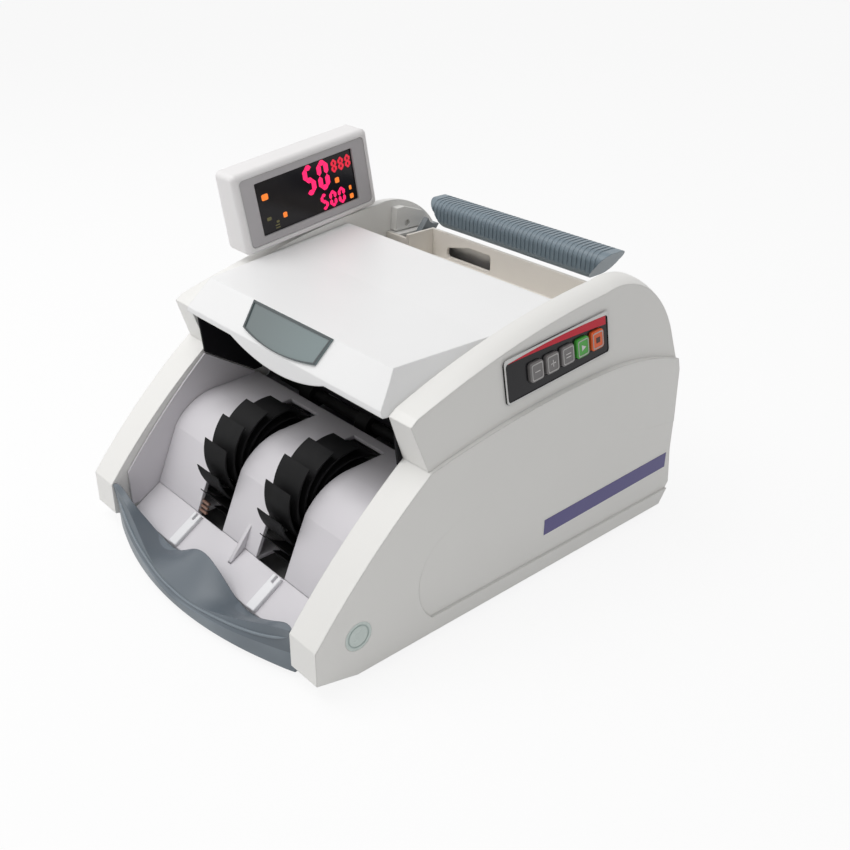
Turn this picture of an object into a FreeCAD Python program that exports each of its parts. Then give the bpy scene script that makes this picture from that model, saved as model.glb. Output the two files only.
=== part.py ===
import FreeCAD, Part
import math
import os

V = FreeCAD.Vector
os.makedirs("parts", exist_ok=True)

# A desk-top banknote counter.  X runs across the machine with the keys on the +X side,
# -Y is the front where counted notes land, +Z is up.  The origin is on the desk, under the
# middle of the machine's overall depth.  All sizes are in millimetres.

# ---- case ------------------------------------------------------------------------------
case_width = 250.0
cheek_width = 23.5            # width of each hollow side of the case
wall = 2.6                    # moulded wall
foot_height = 4.0
front_y = -145.0              # front corner of the case sides
rear_y = 162.0                # rearmost point, at the foot of the back
front_top = 33.0              # top of the short upright front edge
front_bottom = 11.0
base_front_y = -117.0         # where the underside lifts towards the front
notch_y, notch_z = -64.0, 112.0       # corner between front slope and brow
front_bow = 3.5               # how far the front slope bulges
brow_y, brow_z = -74.0, 141.0         # nose over the note pocket
crest_y = 84.0                # highest point of the sides
crest_z = 179.5               # inner top edge there
crest_fall = 12.0             # how much lower the outer top edge is
crest_roundness = 2.4         # how late across the top it falls away
crease_z = 112.0              # height of the soft ledge round the sides, front and rear
crease_rise = 16.0
crease_step = 2.2             # the lower case stands this much prouder
lean = 6.0                    # degrees the upper sides lean in
plinth_z = 14.0               # top of the plinth along the foot of the sides
recess_depth = 1.5            # of the leaf-shaped recess, at the plinth
recess_fade = 1.3             # degrees its floor leans out towards its top
pocket_wall = 1.6             # liners beside the note pocket
hood_gap = 0.9                # seam between the hood and the case sides
fit_gap = 0.4                 # between mating case pieces
pan_plate = 2.0               # plate of the base pan

half = case_width / 2
inner = half - cheek_width    # inner faces of the case sides
span = inner - fit_gap        # half width of what fits between them

# ---- hood (top cover) --------------------------------------------------------------------
hood_wall = 2.6
hood_lip_z = 140.0            # lip at the sides
hood_lip_drop = 9.0           # the lip hangs lower in the middle
hood_lip_half = 48.0          # half width of the hanging part
hood_nose_z = 143.5           # where the upright nose meets the bevel
bevel_y, bevel_z = -62.0, 162.0       # front edge of the flat top
hood_mid_y, hood_mid_z = 3.0, 165.5
hood_rear_y, hood_rear_z = 58.0, 172.0
side_bevel = 9.0              # widest part of the side bevels
badge_width, badge_height = 79.0, 23.0
badge_thickness = 1.4
badge_sag = 4.5

# ---- note pocket --------------------------------------------------------------------------
impeller_y, impeller_z = -69.0, 52.0
impeller_tip_r = 42.0
impeller_hub_r = 13.0
impeller_width = 25.0
impeller_x = 34.0             # middle of each impeller
fin_count = 14
fin_thickness = 2.2
fin_sweep = 140.0             # degrees from root to tip, as the fins spiral round the hub
impeller_clearance = 1.5      # between fin tips and the rear ends of the slots
slot_width = 30.0
plate_thickness = 2.4
plate_foot = (-112.0, 24.0)
plate_knee = (-95.0, 62.0)
plate_shoulder = (-64.0, 80.0)
plate_rear = (-27.0, 81.5)
gusset_reach, gusset_height, gusset_thickness = 11.0, 17.0, 3.0
gusset_x = 5.0                # off the middle, towards the second slot
floor_front = (-134.0, 10.0)
floor_thickness = 2.4
bar_width, bar_height = 8.0, 2.5
tray_wall = 2.2
tray_tip_z = 34.0             # horns at the ends of the tray
tray_hump_z = 28.0
tray_valley_z = 10.5
tray_bulge = 19.5             # how far the apron bows forward in the middle
tray_end_y = -143.0
tray_centre_lip_z = 10.5

# ---- hopper, handle -------------------------------------------------------------------------
hopper_foot = (66.0, 130.0)
hopper_step = (94.0, 137.0)   # where the hopper narrows to pass between the handle arms
hopper_rear = (118.0, 142.0)  # foot of the back wall
hopper_top_z = 161.2          # top of the back wall, close under the grip
hopper_arm_gap = 4.0          # beside the handle arms
hopper_thickness = 2.4
notch_left, notch_right = -61.0, -16.0        # window in the back wall
notch_low_z, notch_side_z, notch_top_z = 144.0, 150.5, 156.0
rear_deck_z = 158.0
boss_reach = 6.5              # raised pad inside each case side, over the deck
boss_front_y, boss_rear_y = 98.0, 131.0
boss_hole_r, boss_hole_depth = 2.2, 3.0
grip_y, grip_z = 131.0, 172.0
grip_width, grip_height = 24.0, 20.0
handle_play = 8.5              # from the outer face of each arm to the side frame
rib_count = 40
rib_width, rib_depth = 2.2, 0.4
arm_thickness = 5.0
arm_width = 12.0
arm_room = 1.5                # between the arms and the slots they swing in
handle_pivot_y, handle_pivot_z = 104.0, 140.0
handle_pin_r = 3.0

# ---- guide under the hood ------------------------------------------------------------------------
guide_thickness = 2.0
guide_rib = 1.6               # ribs stand this much below the guide
guide_rib_count, guide_rib_pitch = 7, 24.0

# ---- drive ------------------------------------------------------------------------------------
shaft_r = 4.0
running_clearance = 0.05
bearing_r, bearing_width = 8.0, 4.0
frame_thickness = 2.0
frame_inset = 3.0             # from the inner faces of the case to the side frames
feed_shaft = (22.0, 93.0)
feed_roller_r = 17.0
pickup_shaft = (55.0, 113.5)
pickup_roller_r = 16.0
transport_shaft = (-6.0, 72.0)
transport_roller_r = 8.5
impeller_motor = (2.0, 38.0)
feed_motor = (62.0, 50.0)
motor_r, motor_length = 21.0, 62.0
belt_width, belt_thickness = 7.0, 1.5
belt_clearance = 0.3
pulley_offset = 4.6           # pulley face from the inner wall of the case side
impeller_pulley_r, impeller_motor_pulley_r = 16.0, 8.0
feed_pulley_r, pickup_pulley_r, transport_pulley_r = 14.0, 12.0, 7.0
feed_motor_pulley_r = 8.0

# ---- pieces let into the back ------------------------------------------------------------------
insert_gap = 0.5
rocker_length, rocker_width = 14.6, 9.4
rocker_pivot = -3.0
rocker_tilt = 9.0

# ---- control panel ------------------------------------------------------------------------------
panel_length, panel_height = 89.6, 27.6
panel_thickness = 1.2
panel_y, panel_z = 39.4, 148.6
panel_tilt = 4.7              # rises towards the rear
key_count = 5
key_width, key_height = 11.0, 12.0
key_pitch = 13.2
key_first = -20.5             # first key from the panel's middle
key_drop = 0.9                # keys sit below the middle line
key_stroke = 1.5
key_stand = 1.8               # crown above the panel
key_gap = 0.4
key_stem = 6.4
disc_r, disc_thickness = 9.0, 0.8
disc_y, disc_z = -116.0, 30.0

# ---- display pod ------------------------------------------------------------------------------
pod_length, pod_height = 113.0, 55.5
pod_foot, pod_head = 25.5, 23.0       # thickness at the bottom and at the top
pod_y = 27.5                  # middle of the pod
pod_base_z = 173.6            # underside at the middle
pod_slope = 8.0               # follows the case top
pod_wall = 2.2
pod_round = 4.0
pod_overhang = 4.0             # from the pod's face to the inner wall of the case side
bezel_margin = 4.5
bezel_depth = 2.0
window_margin, window_margin_high = 11.0, 5.0      # inside the bezel, at the ends and above
window_thickness = 1.5
pod_pin_r = 2.2
pod_lug_r = 3.2
pod_lug_width = 15.0
pod_ear_width = 8.0
pod_hinge_drop = 3.6          # hinge axis under the pod
bracket_depth = 11.0          # bracket base under the hinge axis
bracket_width, bracket_plate = 8.0, 3.0


# ---- small helpers -----------------------------------------------------------------------------

def box(x0, x1, y0, y1, z0, z1):
    return Part.makeBox(x1 - x0, y1 - y0, z1 - z0, V(x0, y0, z0))


def rod(radius, x0, x1, y, z):
    """A round bar along X."""
    return Part.makeCylinder(radius, x1 - x0, V(x0, y, z), V(1, 0, 0))


def tube(outer_r, bore_r, x0, x1, y, z):
    return rod(outer_r, x0, x1, y, z).cut(rod(bore_r, x0 - 1, x1 + 1, y, z))


def yz_face(points):
    """A face in the YZ plane.  A point given as a triple (through, end) is an arc."""
    edges = []
    here = V(0, *points[0])
    for item in list(points[1:]) + [points[0]]:
        if len(item) == 4:
            there = V(0, item[2], item[3])
            edges.append(Part.Arc(here, V(0, item[0], item[1]), there).toShape())
        else:
            there = V(0, *item)
            edges.append(Part.makeLine(here, there))
        here = there
    return Part.Face(Part.Wire(edges))


def slab(face, x0, x1):
    """A YZ face pushed along X."""
    moved = face.copy()
    moved.translate(V(x0, 0, 0))
    return moved.extrude(V(x1 - x0, 0, 0))


def mirror_x(shape):
    return shape.mirror(V(0, 0, 0), V(1, 0, 0))


def fuse_all(shapes):
    whole = shapes[0]
    for extra in shapes[1:]:
        whole = whole.fuse(extra)
    return whole.removeSplitter()


def cut_all(shape, tools):
    for tool in tools:
        shape = shape.cut(tool)
    return shape


def round_edges(shape, radius, wanted):
    edges = [edge for edge in shape.Edges if wanted(edge)]
    return shape.makeFillet(radius, edges)


def save(name, shapes):
    if isinstance(shapes, (list, tuple)):
        shape = Part.Compound(list(shapes))
    else:
        shape = shapes
    shape.exportStep("parts/%s.step" % name)


# ---- case ----------------------------------------------------------------------------------------

def crease_at(y):
    """Height of the soft ledge: low at the front and rear, highest over the crest."""
    reach = (y - crest_y) / ((crest_y - notch_y) if y < crest_y else (rear_y - crest_y))
    return crease_z + crease_rise * (1 - reach * reach)


def side_outline(drop=0.0, inset=0.0):
    """Outline of a case side.  drop lowers the top edge, inset pulls every edge inwards."""
    i = inset
    top = crest_z - drop
    brow_top = brow_z + 2.0
    bow = front_bow * 0.7
    mid_y, mid_z = (front_y + notch_y) / 2, (front_top + notch_z) / 2
    return [
        (base_front_y, foot_height + i * 0.3),
        (front_y + i, front_bottom + i * 0.3),
        (front_y + i, front_top - i * 0.4),
        (mid_y - bow + i * 0.7, mid_z + bow - i * 0.7, notch_y + i * 0.4, notch_z - i * 0.8),
        (brow_y + i, brow_z - i * 0.2),
        (brow_y + i + 5.0, brow_top + 1.5 - i * 0.8),
        (0.0, brow_z + (top - brow_z) * 0.66 - i, crest_y, top - i),
        (crest_y + 44.0 - i * 0.6, top - 9.5 - i * 0.8, rear_y - 13.0 - i, crease_z + 19.0 - i * 0.3),
        (rear_y - 6.0 - i, crease_z - 5.0),
        (rear_y - 4.0 - i, 46.0),
        (rear_y - i, 18.0),
        (rear_y - 10.0 - i * 0.6, foot_height + i * 0.3),
    ]


def crease_face(reach):
    """Everything under the soft ledge, as a YZ face that runs past the case."""
    middle = crest_y
    return yz_face([
        (notch_y - 120.0, -20.0),
        (notch_y - 120.0, crease_at(notch_y) + reach),
        (notch_y, crease_at(notch_y) + reach),
        ((notch_y + middle) / 2, crease_at((notch_y + middle) / 2) + reach,
         middle, crease_at(middle) + reach),
        ((middle + rear_y) / 2, crease_at((middle + rear_y) / 2) + reach,
         rear_y + 5.0, crease_at(rear_y + 5.0) + reach),
        (rear_y + 5.0, -20.0),
    ])


def lean_cutter(offset):
    """A block outside the leaning plane of the upper sides."""
    block = box(0, 60, -200, 200, -30, 120)
    block.rotate(V(0, 0, 0), V(0, 1, 0), -lean)
    block.translate(V(half - crease_step - offset, 0, crease_z))
    return block


def side_solid(inset):
    """One case side without its hollow: crested top, leaning upper part, proud lower part."""
    x0, x1 = inner + inset, half - inset
    low = slab(yz_face(side_outline(crest_fall, inset)), x0, x1)
    low = low.common(slab(crease_face(-inset), x0 - 1, x1 + 1))
    wires = []
    for part in (0.0, 0.4, 0.65, 0.85, 1.0):
        wire = yz_face(side_outline(crest_fall * part ** crest_roundness, inset)).OuterWire
        wire.translate(V(x0 + (x1 - x0) * part, 0, 0))
        wires.append(wire)
    high = Part.makeLoft(wires, True, False).cut(lean_cutter(inset))
    return low.fuse(high).removeSplitter()


def side_recess():
    """Shallow leaf-shaped recess over the plinth, deepest along its straight foot."""
    outline = yz_face([
        (-62.0, plinth_z + 1.0), (-71.0, 48.0, -40.0, 72.0), (20.0, 83.0, 130.0, 72.0),
        (rear_y + 5.0, 66.0), (rear_y + 5.0, plinth_z)])
    leaf = slab(outline, half - 6.0, half + 6.0)
    keep = box(-30, 0, -200, 200, -100, 150)
    keep.rotate(V(0, 0, 0), V(0, 1, 0), recess_fade)
    keep.translate(V(half - recess_depth, 0, plinth_z))
    return leaf.cut(keep)


def right_cover():
    shell = side_solid(0.0).cut(side_recess())
    hollow = side_solid(wall)
    under = yz_face([(base_front_y + wall, -1), (base_front_y + wall, front_bottom + wall),
                     (rear_y - 12.0, front_bottom + wall), (rear_y - 12.0, -1)])
    hollow = hollow.fuse(slab(under, inner + wall, half - wall))
    return shell.cut(hollow)


SHAFTS = {"impeller": (impeller_y, impeller_z), "feed": feed_shaft,
          "pickup": pickup_shaft, "transport": transport_shaft}
frame_x = inner - frame_inset - frame_thickness   # inner face of a side frame
arm_x = frame_x - handle_play                     # outer face of each handle arm
grip_length = 2 * (arm_x + 1.0)


def shaft_holes(x0, x1, radius):
    """Clear holes for every shaft, between two X positions."""
    return [rod(radius, x0, x1, y, z) for y, z in SHAFTS.values()]


def cased(cover):
    """Holes in the inner wall of a case side, for the shafts and the handle pin."""
    hole_r = shaft_r + 1.0
    holes = shaft_holes(inner - 1, inner + wall + 1, hole_r)
    for y, z in (impeller_motor, feed_motor):
        holes.append(rod(hole_r, inner - 1, inner + wall + 1, y, z))
    holes.append(rod(handle_pin_r, inner - 1, inner + wall + 1, handle_pivot_y, handle_pivot_z))
    holes.append(box(inner - 1, inner + wall + fit_gap, base_front_y, rear_y - 12.0,
                     0, foot_height + pan_plate + fit_gap))
    holes.append(side_disc())
    return cut_all(cover, holes)


def base_pan():
    """A shallow pan that closes the case from below and carries the frames."""
    depth = 9.0
    lip = pan_plate
    half_pan = half - wall - fit_gap
    front, rear = base_front_y + wall + fit_gap, rear_y - 12.0 - fit_gap
    pan = box(-half_pan, half_pan, front, rear, foot_height, foot_height + depth)
    hollow = box(-half_pan + lip, half_pan - lip, front + lip, rear - lip,
                 foot_height + lip, foot_height + depth + 1)
    pan = pan.cut(hollow)
    slots = []
    for side in (-1, 1):
        x = side * (inner + wall / 2)
        slots.append(box(x - wall / 2 - fit_gap, x + wall / 2 + fit_gap, front - 1, rear + 1,
                         foot_height + lip, foot_height + depth + 1))
    vents = [box(-40 + i * 12.0, -36 + i * 12.0, 60, 110, 0, 20) for i in range(7)]
    return cut_all(pan, slots + vents)


foot_x, foot_front_y, foot_rear_y = half - 17.0, base_front_y + 20.0, rear_y - 32.0
foot_r = 9.0


def feet():
    places = [(x, y) for x in (-foot_x, foot_x) for y in (foot_front_y, foot_rear_y)]
    rubber = []
    for x, y in places:
        pad = Part.makeCylinder(foot_r, foot_height, V(x, y, 0))
        pad = round_edges(pad, 1.0, lambda edge: edge.BoundBox.ZMax < 0.01)
        rubber.append(pad)
    return rubber


def side_frame():
    """Steel plate that carries the shafts, on the +X side."""
    outline = yz_face([
        (impeller_y - 15.0, foot_height + pan_plate), (impeller_y - 15.0, 60.0), (-66.0, 70.0),
        (-20.0, 78.0), (6.0, 123.0), (60.0, 123.0), (handle_pivot_y - 7.0, 123.0),
        (handle_pivot_y - 7.0, handle_pivot_z + 7.0), (handle_pivot_y + 9.0, handle_pivot_z + 7.0),
        (rear_y - 34.0, 100.0), (rear_y - 22.0, foot_height + pan_plate)])
    plate = slab(outline, frame_x, frame_x + frame_thickness)
    holes = shaft_holes(frame_x - 1, frame_x + 5, bearing_r)
    holes += [rod(14.0, frame_x - 1, frame_x + 5, y, z) for y, z in (impeller_motor, feed_motor)]
    holes.append(rod(12.0, frame_x - 1, frame_x + 5, 100.0, 74.0))
    holes.append(rod(handle_pin_r, frame_x - 1, frame_x + 5, handle_pivot_y, handle_pivot_z))
    return cut_all(plate, holes)


def bearings():
    """A bearing for each end of each shaft, seated in the side frames."""
    rings = []
    for y, z in SHAFTS.values():
        ring = tube(bearing_r, shaft_r + running_clearance, frame_x, frame_x + bearing_width, y, z)
        rings += [ring, mirror_x(ring)]
    return rings


TIE_RODS = [(127.0, 62.0), (112.0, 108.0), (84.0, 112.0), (-24.0, 20.0)]


def tie_rods():
    """Round bars that hold the side frames apart."""
    return [rod(4.0, -frame_x, frame_x, y, z) for y, z in TIE_RODS]


# ---- hood ------------------------------------------------------------------------------------

def hood_edge_at(y):
    """Height of the hood's side edge, along the inner top edge of the case side."""
    t = (y - brow_y) / (hood_mid_y - brow_y)
    return hood_lip_z + (hood_mid_z - hood_lip_z) * (1.55 * t - 0.55 * t * t)


def hood_block(inset):
    """The hood as a solid, every face pulled in by the inset."""
    i = inset
    lip_y = brow_y - 3.0
    lip_z = hood_lip_z - hood_lip_drop
    low = -1.0 if i else 0.0
    profile = yz_face([
        (lip_y + i, lip_z + low), (lip_y + i, hood_nose_z - i * 0.4),
        (bevel_y + i * 0.4, bevel_z - i), (hood_mid_y, hood_mid_z - i),
        (hood_rear_y - i, hood_rear_z - i), (hood_rear_y - i, hood_rear_z - 12.0 + low),
        (hood_rear_y - 12.0, hood_rear_z - 16.0 + low), (-30.0, lip_z + low)])
    reach = inner - hood_gap
    block = slab(profile, -reach + i, reach - i)
    stations = []
    for y, break_x in ((lip_y - 6.0, reach - side_bevel - 1.5), (bevel_y, reach - side_bevel),
                       (-34.0, reach - side_bevel * 0.6), (hood_mid_y, reach - 0.3)):
        top = bevel_z + (hood_mid_z - bevel_z) * (y - bevel_y) / (hood_mid_y - bevel_y)
        edge = hood_edge_at(y)
        stations.append([V(break_x - i * 0.6, y, top - i * 0.6), V(reach + 4, y, edge - 8.0 - i),
                         V(reach + 4, y, top + 9), V(break_x, y, top + 9)])
    wires = [Part.makePolygon(points + [points[0]]) for points in stations]
    side = Part.makeLoft(wires, True, True)
    return block.cut(side).cut(mirror_x(side))


def lip_cutter():
    """Everything under the hood's lip line: straight at the sides, hanging in the middle."""
    y0, y1 = brow_y - 30.0, brow_y + 24.0
    low, high = hood_lip_z - hood_lip_drop, hood_lip_z
    edges = [
        Part.makeLine(V(-inner - 5, y0, low - 30), V(-inner - 5, y0, high)),
        Part.makeLine(V(-inner - 5, y0, high), V(-hood_lip_half, y0, high)),
        Part.Arc(V(-hood_lip_half, y0, high), V(0, y0, low), V(hood_lip_half, y0, high)).toShape(),
        Part.makeLine(V(hood_lip_half, y0, high), V(inner + 5, y0, high)),
        Part.makeLine(V(inner + 5, y0, high), V(inner + 5, y0, low - 30)),
        Part.makeLine(V(inner + 5, y0, low - 30), V(-inner - 5, y0, low - 30))]
    return Part.Face(Part.Wire(edges)).extrude(V(0, y1 - y0, 0))


def hood():
    return hood_block(0.0).cut(hood_block(hood_wall)).cut(lip_cutter())


def bevel_place():
    """Middle of the hood's front bevel: x across, y up the bevel, z out of it."""
    nose = (brow_y - 3.0, hood_nose_z)
    mid_y, mid_z = (nose[0] + bevel_y) / 2, (nose[1] + bevel_z) / 2
    angle = math.degrees(math.atan2(bevel_z - nose[1], bevel_y - nose[0]))
    return FreeCAD.Placement(V(0, mid_y, mid_z), FreeCAD.Rotation(V(1, 0, 0), angle))


def badge_solid(margin, bottom, thickness):
    """Badge plate: straight top, slanted sides, bowed lower edge."""
    top_x, low_x = badge_width / 2 - margin, badge_width / 2 - 3.0 - margin
    top, low = badge_height / 2 - margin, -badge_height / 2 + 5.0 + margin * 0.4
    a, b = V(-top_x, top, bottom), V(top_x, top, bottom)
    c, d = V(low_x, low, bottom), V(-low_x, low, bottom)
    sag = V(0, low - badge_sag, bottom)
    edges = [Part.makeLine(a, b), Part.makeLine(b, c), Part.Arc(c, sag, d).toShape(),
             Part.makeLine(d, a)]
    return Part.Face(Part.Wire(edges)).extrude(V(0, 0, thickness))


def name_badge():
    """A raised plate with a rim.  Its field is bare."""
    plate = badge_solid(0.0, 0.0, badge_thickness)
    plate = plate.cut(badge_solid(1.6, badge_thickness - 0.5, 1.0))
    plate.Placement = bevel_place()
    return plate


# ---- note pocket ------------------------------------------------------------------------------

def slots(y0, y1, z0, z1):
    """The two openings that the impellers reach through."""
    w = slot_width / 2
    return [box(s * impeller_x - w, s * impeller_x + w, y0, y1, z0, z1) for s in (-1, 1)]


pocket_half = span - pocket_wall - fit_gap


def stacker_plate():
    """Curved plate behind the note pocket, slotted for the impellers."""
    t = plate_thickness
    face = yz_face([
        plate_foot, plate_knee,
        (-84.0, plate_shoulder[1] - 7.0, plate_shoulder[0], plate_shoulder[1]), plate_rear,
        (plate_rear[0], plate_rear[1] - t), (plate_shoulder[0], plate_shoulder[1] - t),
        (-84.0 + t * 0.7, plate_shoulder[1] - 7.0 - t * 0.7, plate_knee[0] + t, plate_knee[1] - 1.0),
        (plate_foot[0] + t, plate_foot[1])])
    plate = slab(face, -pocket_half, pocket_half)
    swing = impeller_tip_r + impeller_clearance
    rise = plate_shoulder[1] - t - impeller_z
    rear_end = impeller_y + math.sqrt(swing * swing - rise * rise)
    cuts = slots(plate_foot[0] - 1.0, rear_end, plate_foot[1] - 1.0, plate_rear[1] + 1.0)
    return cut_all(plate, cuts)


def gusset():
    """Triangular web in the corner between plate and floor, on the strip between the slots."""
    y, z = plate_foot
    knee_y, knee_z = plate_knee
    top_y = y + (knee_y - y) * gusset_height / (knee_z - z)
    slope = (z - fit_gap - floor_front[1]) / (y - floor_front[0])
    face = yz_face([(y - gusset_reach, z - gusset_reach * slope), (top_y + 1.0, z + gusset_height),
                    (y + 1.0, z + 1.0), (y, z)])
    return slab(face, gusset_x - gusset_thickness / 2, gusset_x + gusset_thickness / 2)


def stacker_floor():
    """Floor of the note pocket, falling towards the front."""
    t = floor_thickness
    back_y, back_z = plate_foot
    front_yy, front_z = floor_front
    rear = back_y + 20.0
    face = yz_face([(back_y, back_z - fit_gap), (rear, back_z - fit_gap),
                    (rear, back_z - fit_gap - t), (back_y, back_z - fit_gap - t),
                    (front_yy, front_z - t), (front_yy, front_z)])
    floor = slab(face, -pocket_half, pocket_half)
    return cut_all(floor, slots(back_y, back_y + 30.0, 0, 60))


def floor_place(x):
    """On the floor's front slope: y runs up the slope from its front edge."""
    (back_y, back_z), (front_yy, front_z) = plate_foot, floor_front
    angle = math.degrees(math.atan2(back_z - fit_gap - front_z, back_y - front_yy))
    return FreeCAD.Placement(V(x, front_yy, front_z), FreeCAD.Rotation(V(1, 0, 0), angle))


floor_slope = math.dist((plate_foot[0], plate_foot[1] - fit_gap), floor_front)
bar_x = impeller_x + slot_width / 2 - bar_width / 2


def stacker_bars():
    """Two raised stop bars that run down the pocket floor."""
    bars = []
    for side in (-1, 1):
        bar = box(-bar_width / 2, bar_width / 2, 0.4, floor_slope - 1.0, 0.0, bar_height)
        bar = bar.cut(box(-1.2, 1.2, floor_slope - 6.0, floor_slope, -1, bar_height + 1))
        bar = round_edges(bar, 0.8, lambda edge: edge.BoundBox.ZMin > bar_height - 0.01
                          and edge.BoundBox.YLength > 6)
        bar.Placement = floor_place(side * bar_x)
        bars.append(bar)
    return bars


def pocket_liner():
    """Thin liner on the inner wall beside the note pocket, with a slanted foot, +X side."""
    x0, x1 = span - pocket_wall, span
    front = floor_front[0] + 1.0
    outline = yz_face([
        (front, 14.0), (front, 39.0), (-101.0, 75.0, notch_y - 3.0, notch_z - 5.0),
        (plate_rear[0] - 2.0, plate_rear[1] + 1.0), (plate_rear[0] - 2.0, plate_rear[1] - 10.0),
        (-58.0, 62.0), (-80.0, 14.0)])
    sheet = slab(outline, x0, x1)
    return cut_all(sheet, shaft_holes(x0 - 1, x1 + 1, bearing_r + fit_gap))


def upper_guide():
    """Dark ribbed guide between the hood and the exit of the notes, with its two cheeks."""
    t = guide_thickness
    front = [(brow_y + 3.0, hood_lip_z - 4.0), (-50.0, 127.0), (-33.0, 111.0), (-22.0, 96.0), (-18.0, 88.0)]
    back = [(y + t * 0.8, z + t * 0.8) for y, z in reversed(front)]
    guide = slab(yz_face(front + back), -span + pocket_wall / 2, span - pocket_wall / 2)
    rib_front = [(y - guide_rib, z - guide_rib) for y, z in front[1:4]]
    rib_back = [(y + t * 0.4, z + t * 0.4) for y, z in reversed(front[1:4])]
    ribs = []
    for i in range(guide_rib_count):
        x = (i - (guide_rib_count - 1) / 2) * guide_rib_pitch
        ribs.append(slab(yz_face(rib_front + rib_back), x - 1.0, x + 1.0))
    cheek = slab(yz_face([
        (notch_y - 3.0, notch_z - 4.0), (brow_y + 4.5, hood_lip_z - 5.6), (-40.0, 122.0),
        (plate_rear[0] + 4.0, plate_rear[1] + 14.0), (plate_rear[0] + 4.0, plate_rear[1] + 2.4),
        (plate_rear[0] - 2.0, plate_rear[1] + 2.0)]), span - pocket_wall, span)
    return fuse_all([guide, cheek, mirror_x(cheek)] + ribs)


# ---- tray ---------------------------------------------------------------------------------------

def tray_section(x, inset):
    """A YZ section of the tray at one X, pulled in by the inset."""
    u = x / inner
    bow = tray_bulge * (1 - u * u)
    i = inset
    end = abs(u)
    foot_y = tray_end_y + 1.0 - bow
    lip_z = tray_centre_lip_z + (tray_tip_z - tray_centre_lip_z) * end ** 1.6
    wave = 0.5 + 0.5 * math.cos(math.pi * min(end / 0.43, 1.0))
    rise = 0.5 - 0.5 * math.cos(math.pi * max(end - 0.43, 0.0) / 0.57)
    back_z = tray_valley_z + (tray_hump_z - tray_valley_z) * wave + (tray_tip_z - tray_valley_z) * rise
    back_y = floor_front[0] - 2.0 - 6.5 * rise
    lip_y = tray_end_y - 1.5 - (bow - 3.0) * (1 - u * u) * 0.9
    band_z = foot_height + 4.0 + 10.0 * end
    if i:
        back_z, lip_z, band_z = back_z - 1.3 * i, lip_z - 2.2 * i, band_z - i
        back_z = max(back_z, foot_height + 0.5)
        lip_z = max(lip_z, foot_height + 0.4)
        band_z = min(band_z, lip_z - 0.1)
    base = foot_height - (1.0 if i else 0.0)
    points = [(foot_y + i, base), (foot_y - 0.3 + i, band_z), (lip_y + i * 0.9, lip_z),
              (back_y - i * 0.2, back_z), (floor_front[0] - 0.6 - i, base)]
    return Part.makePolygon([V(x, y, z) for y, z in points + [points[0]]])


def tray_loft(reach, inset):
    count = 12
    stations = [reach * (2.0 * k / count - 1.0) for k in range(count + 1)]
    return Part.makeLoft([tray_section(x, inset) for x in stations], True, False)


def front_tray():
    """Blue-grey tray that closes the pocket: low lip in the middle, horns at the ends."""
    return tray_loft(span - 0.4, 0.0).cut(tray_loft(span - 0.4 - tray_wall - 6.0, tray_wall))


# ---- impellers -------------------------------------------------------------------------------------

def impeller():
    """Soft wheel of swept fins that lays the notes down, centred on the X axis origin."""
    w = impeller_width / 2
    hub = tube(impeller_hub_r, shaft_r, -w, w, 0, 0)
    root_r, steps = impeller_hub_r - 1.0, 6
    half_t = fin_thickness / 2

    def spiral(offset):
        """Points of one side of a fin, from its root to its tip."""
        points = []
        for k in range(steps + 1):
            part = k / steps
            radius = root_r + (impeller_tip_r - root_r) * part
            thick = offset * (1 - 0.75 * part ** 3)
            angle = -math.radians(fin_sweep) * part ** 0.85
            points.append(V(0, (radius + thick) * math.cos(angle), (radius + thick) * math.sin(angle)))
        return points

    def smooth(points):
        curve = Part.BSplineCurve()
        curve.interpolate(points)
        return curve.toShape()

    outer, under = spiral(0.0), spiral(-2 * half_t)
    face = Part.Face(Part.Wire([smooth(outer), Part.makeLine(outer[-1], under[-1]),
                                smooth(under[::-1]), Part.makeLine(under[0], outer[0])]))
    fin = slab(face, -w, w)
    fins = []
    for k in range(fin_count):
        copy = fin.copy()
        copy.rotate(V(0, 0, 0), V(1, 0, 0), 360.0 * k / fin_count)
        fins.append(copy)
    return hub.multiFuse(fins).removeSplitter()


def placed_impeller(side):
    wheel = impeller()
    wheel.translate(V(side * impeller_x, impeller_y, impeller_z))
    return wheel


belt_x0 = inner + wall + pulley_offset


def pulley(radius, x0, y, z, bore=shaft_r):
    """Flanged belt pulley."""
    width = belt_width + 1.0
    flange = 1.0
    body = rod(radius, x0, x0 + width, y, z)
    rims = [rod(radius + 2.0, x0 - flange, x0, y, z), rod(radius + 2.0, x0 + width, x0 + width + flange, y, z)]
    return fuse_all([body] + rims).cut(rod(bore, x0 - 5, x0 + width + 5, y, z))


def belt(circles, x0):
    """Belt round pulleys that are listed in order, all on its inside."""
    def hull(extra):
        discs = []
        corners = []
        count = len(circles)
        for k in range(count):
            y0, z0, r0 = circles[k]
            y1, z1, r1 = circles[(k + 1) % count]
            length = math.hypot(y1 - y0, z1 - z0)
            along = math.atan2(z1 - z0, y1 - y0)
            tilt = along - math.pi / 2 + math.asin((r0 - r1) / length)
            for y, z, r in ((y0, z0, r0 + extra), (y1, z1, r1 + extra)):
                corners.append(V(x0, y + r * math.cos(tilt), z + r * math.sin(tilt)))
            discs.append(rod(r0 + extra, x0, x0 + belt_width, y0, z0))
        core = Part.Face(Part.makePolygon(corners + [corners[0]])).extrude(V(belt_width, 0, 0))
        return fuse_all([core] + discs)
    return hull(belt_clearance + belt_thickness).cut(hull(belt_clearance))


def rollers(y, z, radius, width, places):
    return [tube(radius, shaft_r, x - width / 2, x + width / 2, y, z) for x in places]


roller_places = [-impeller_x, impeller_x]


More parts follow.
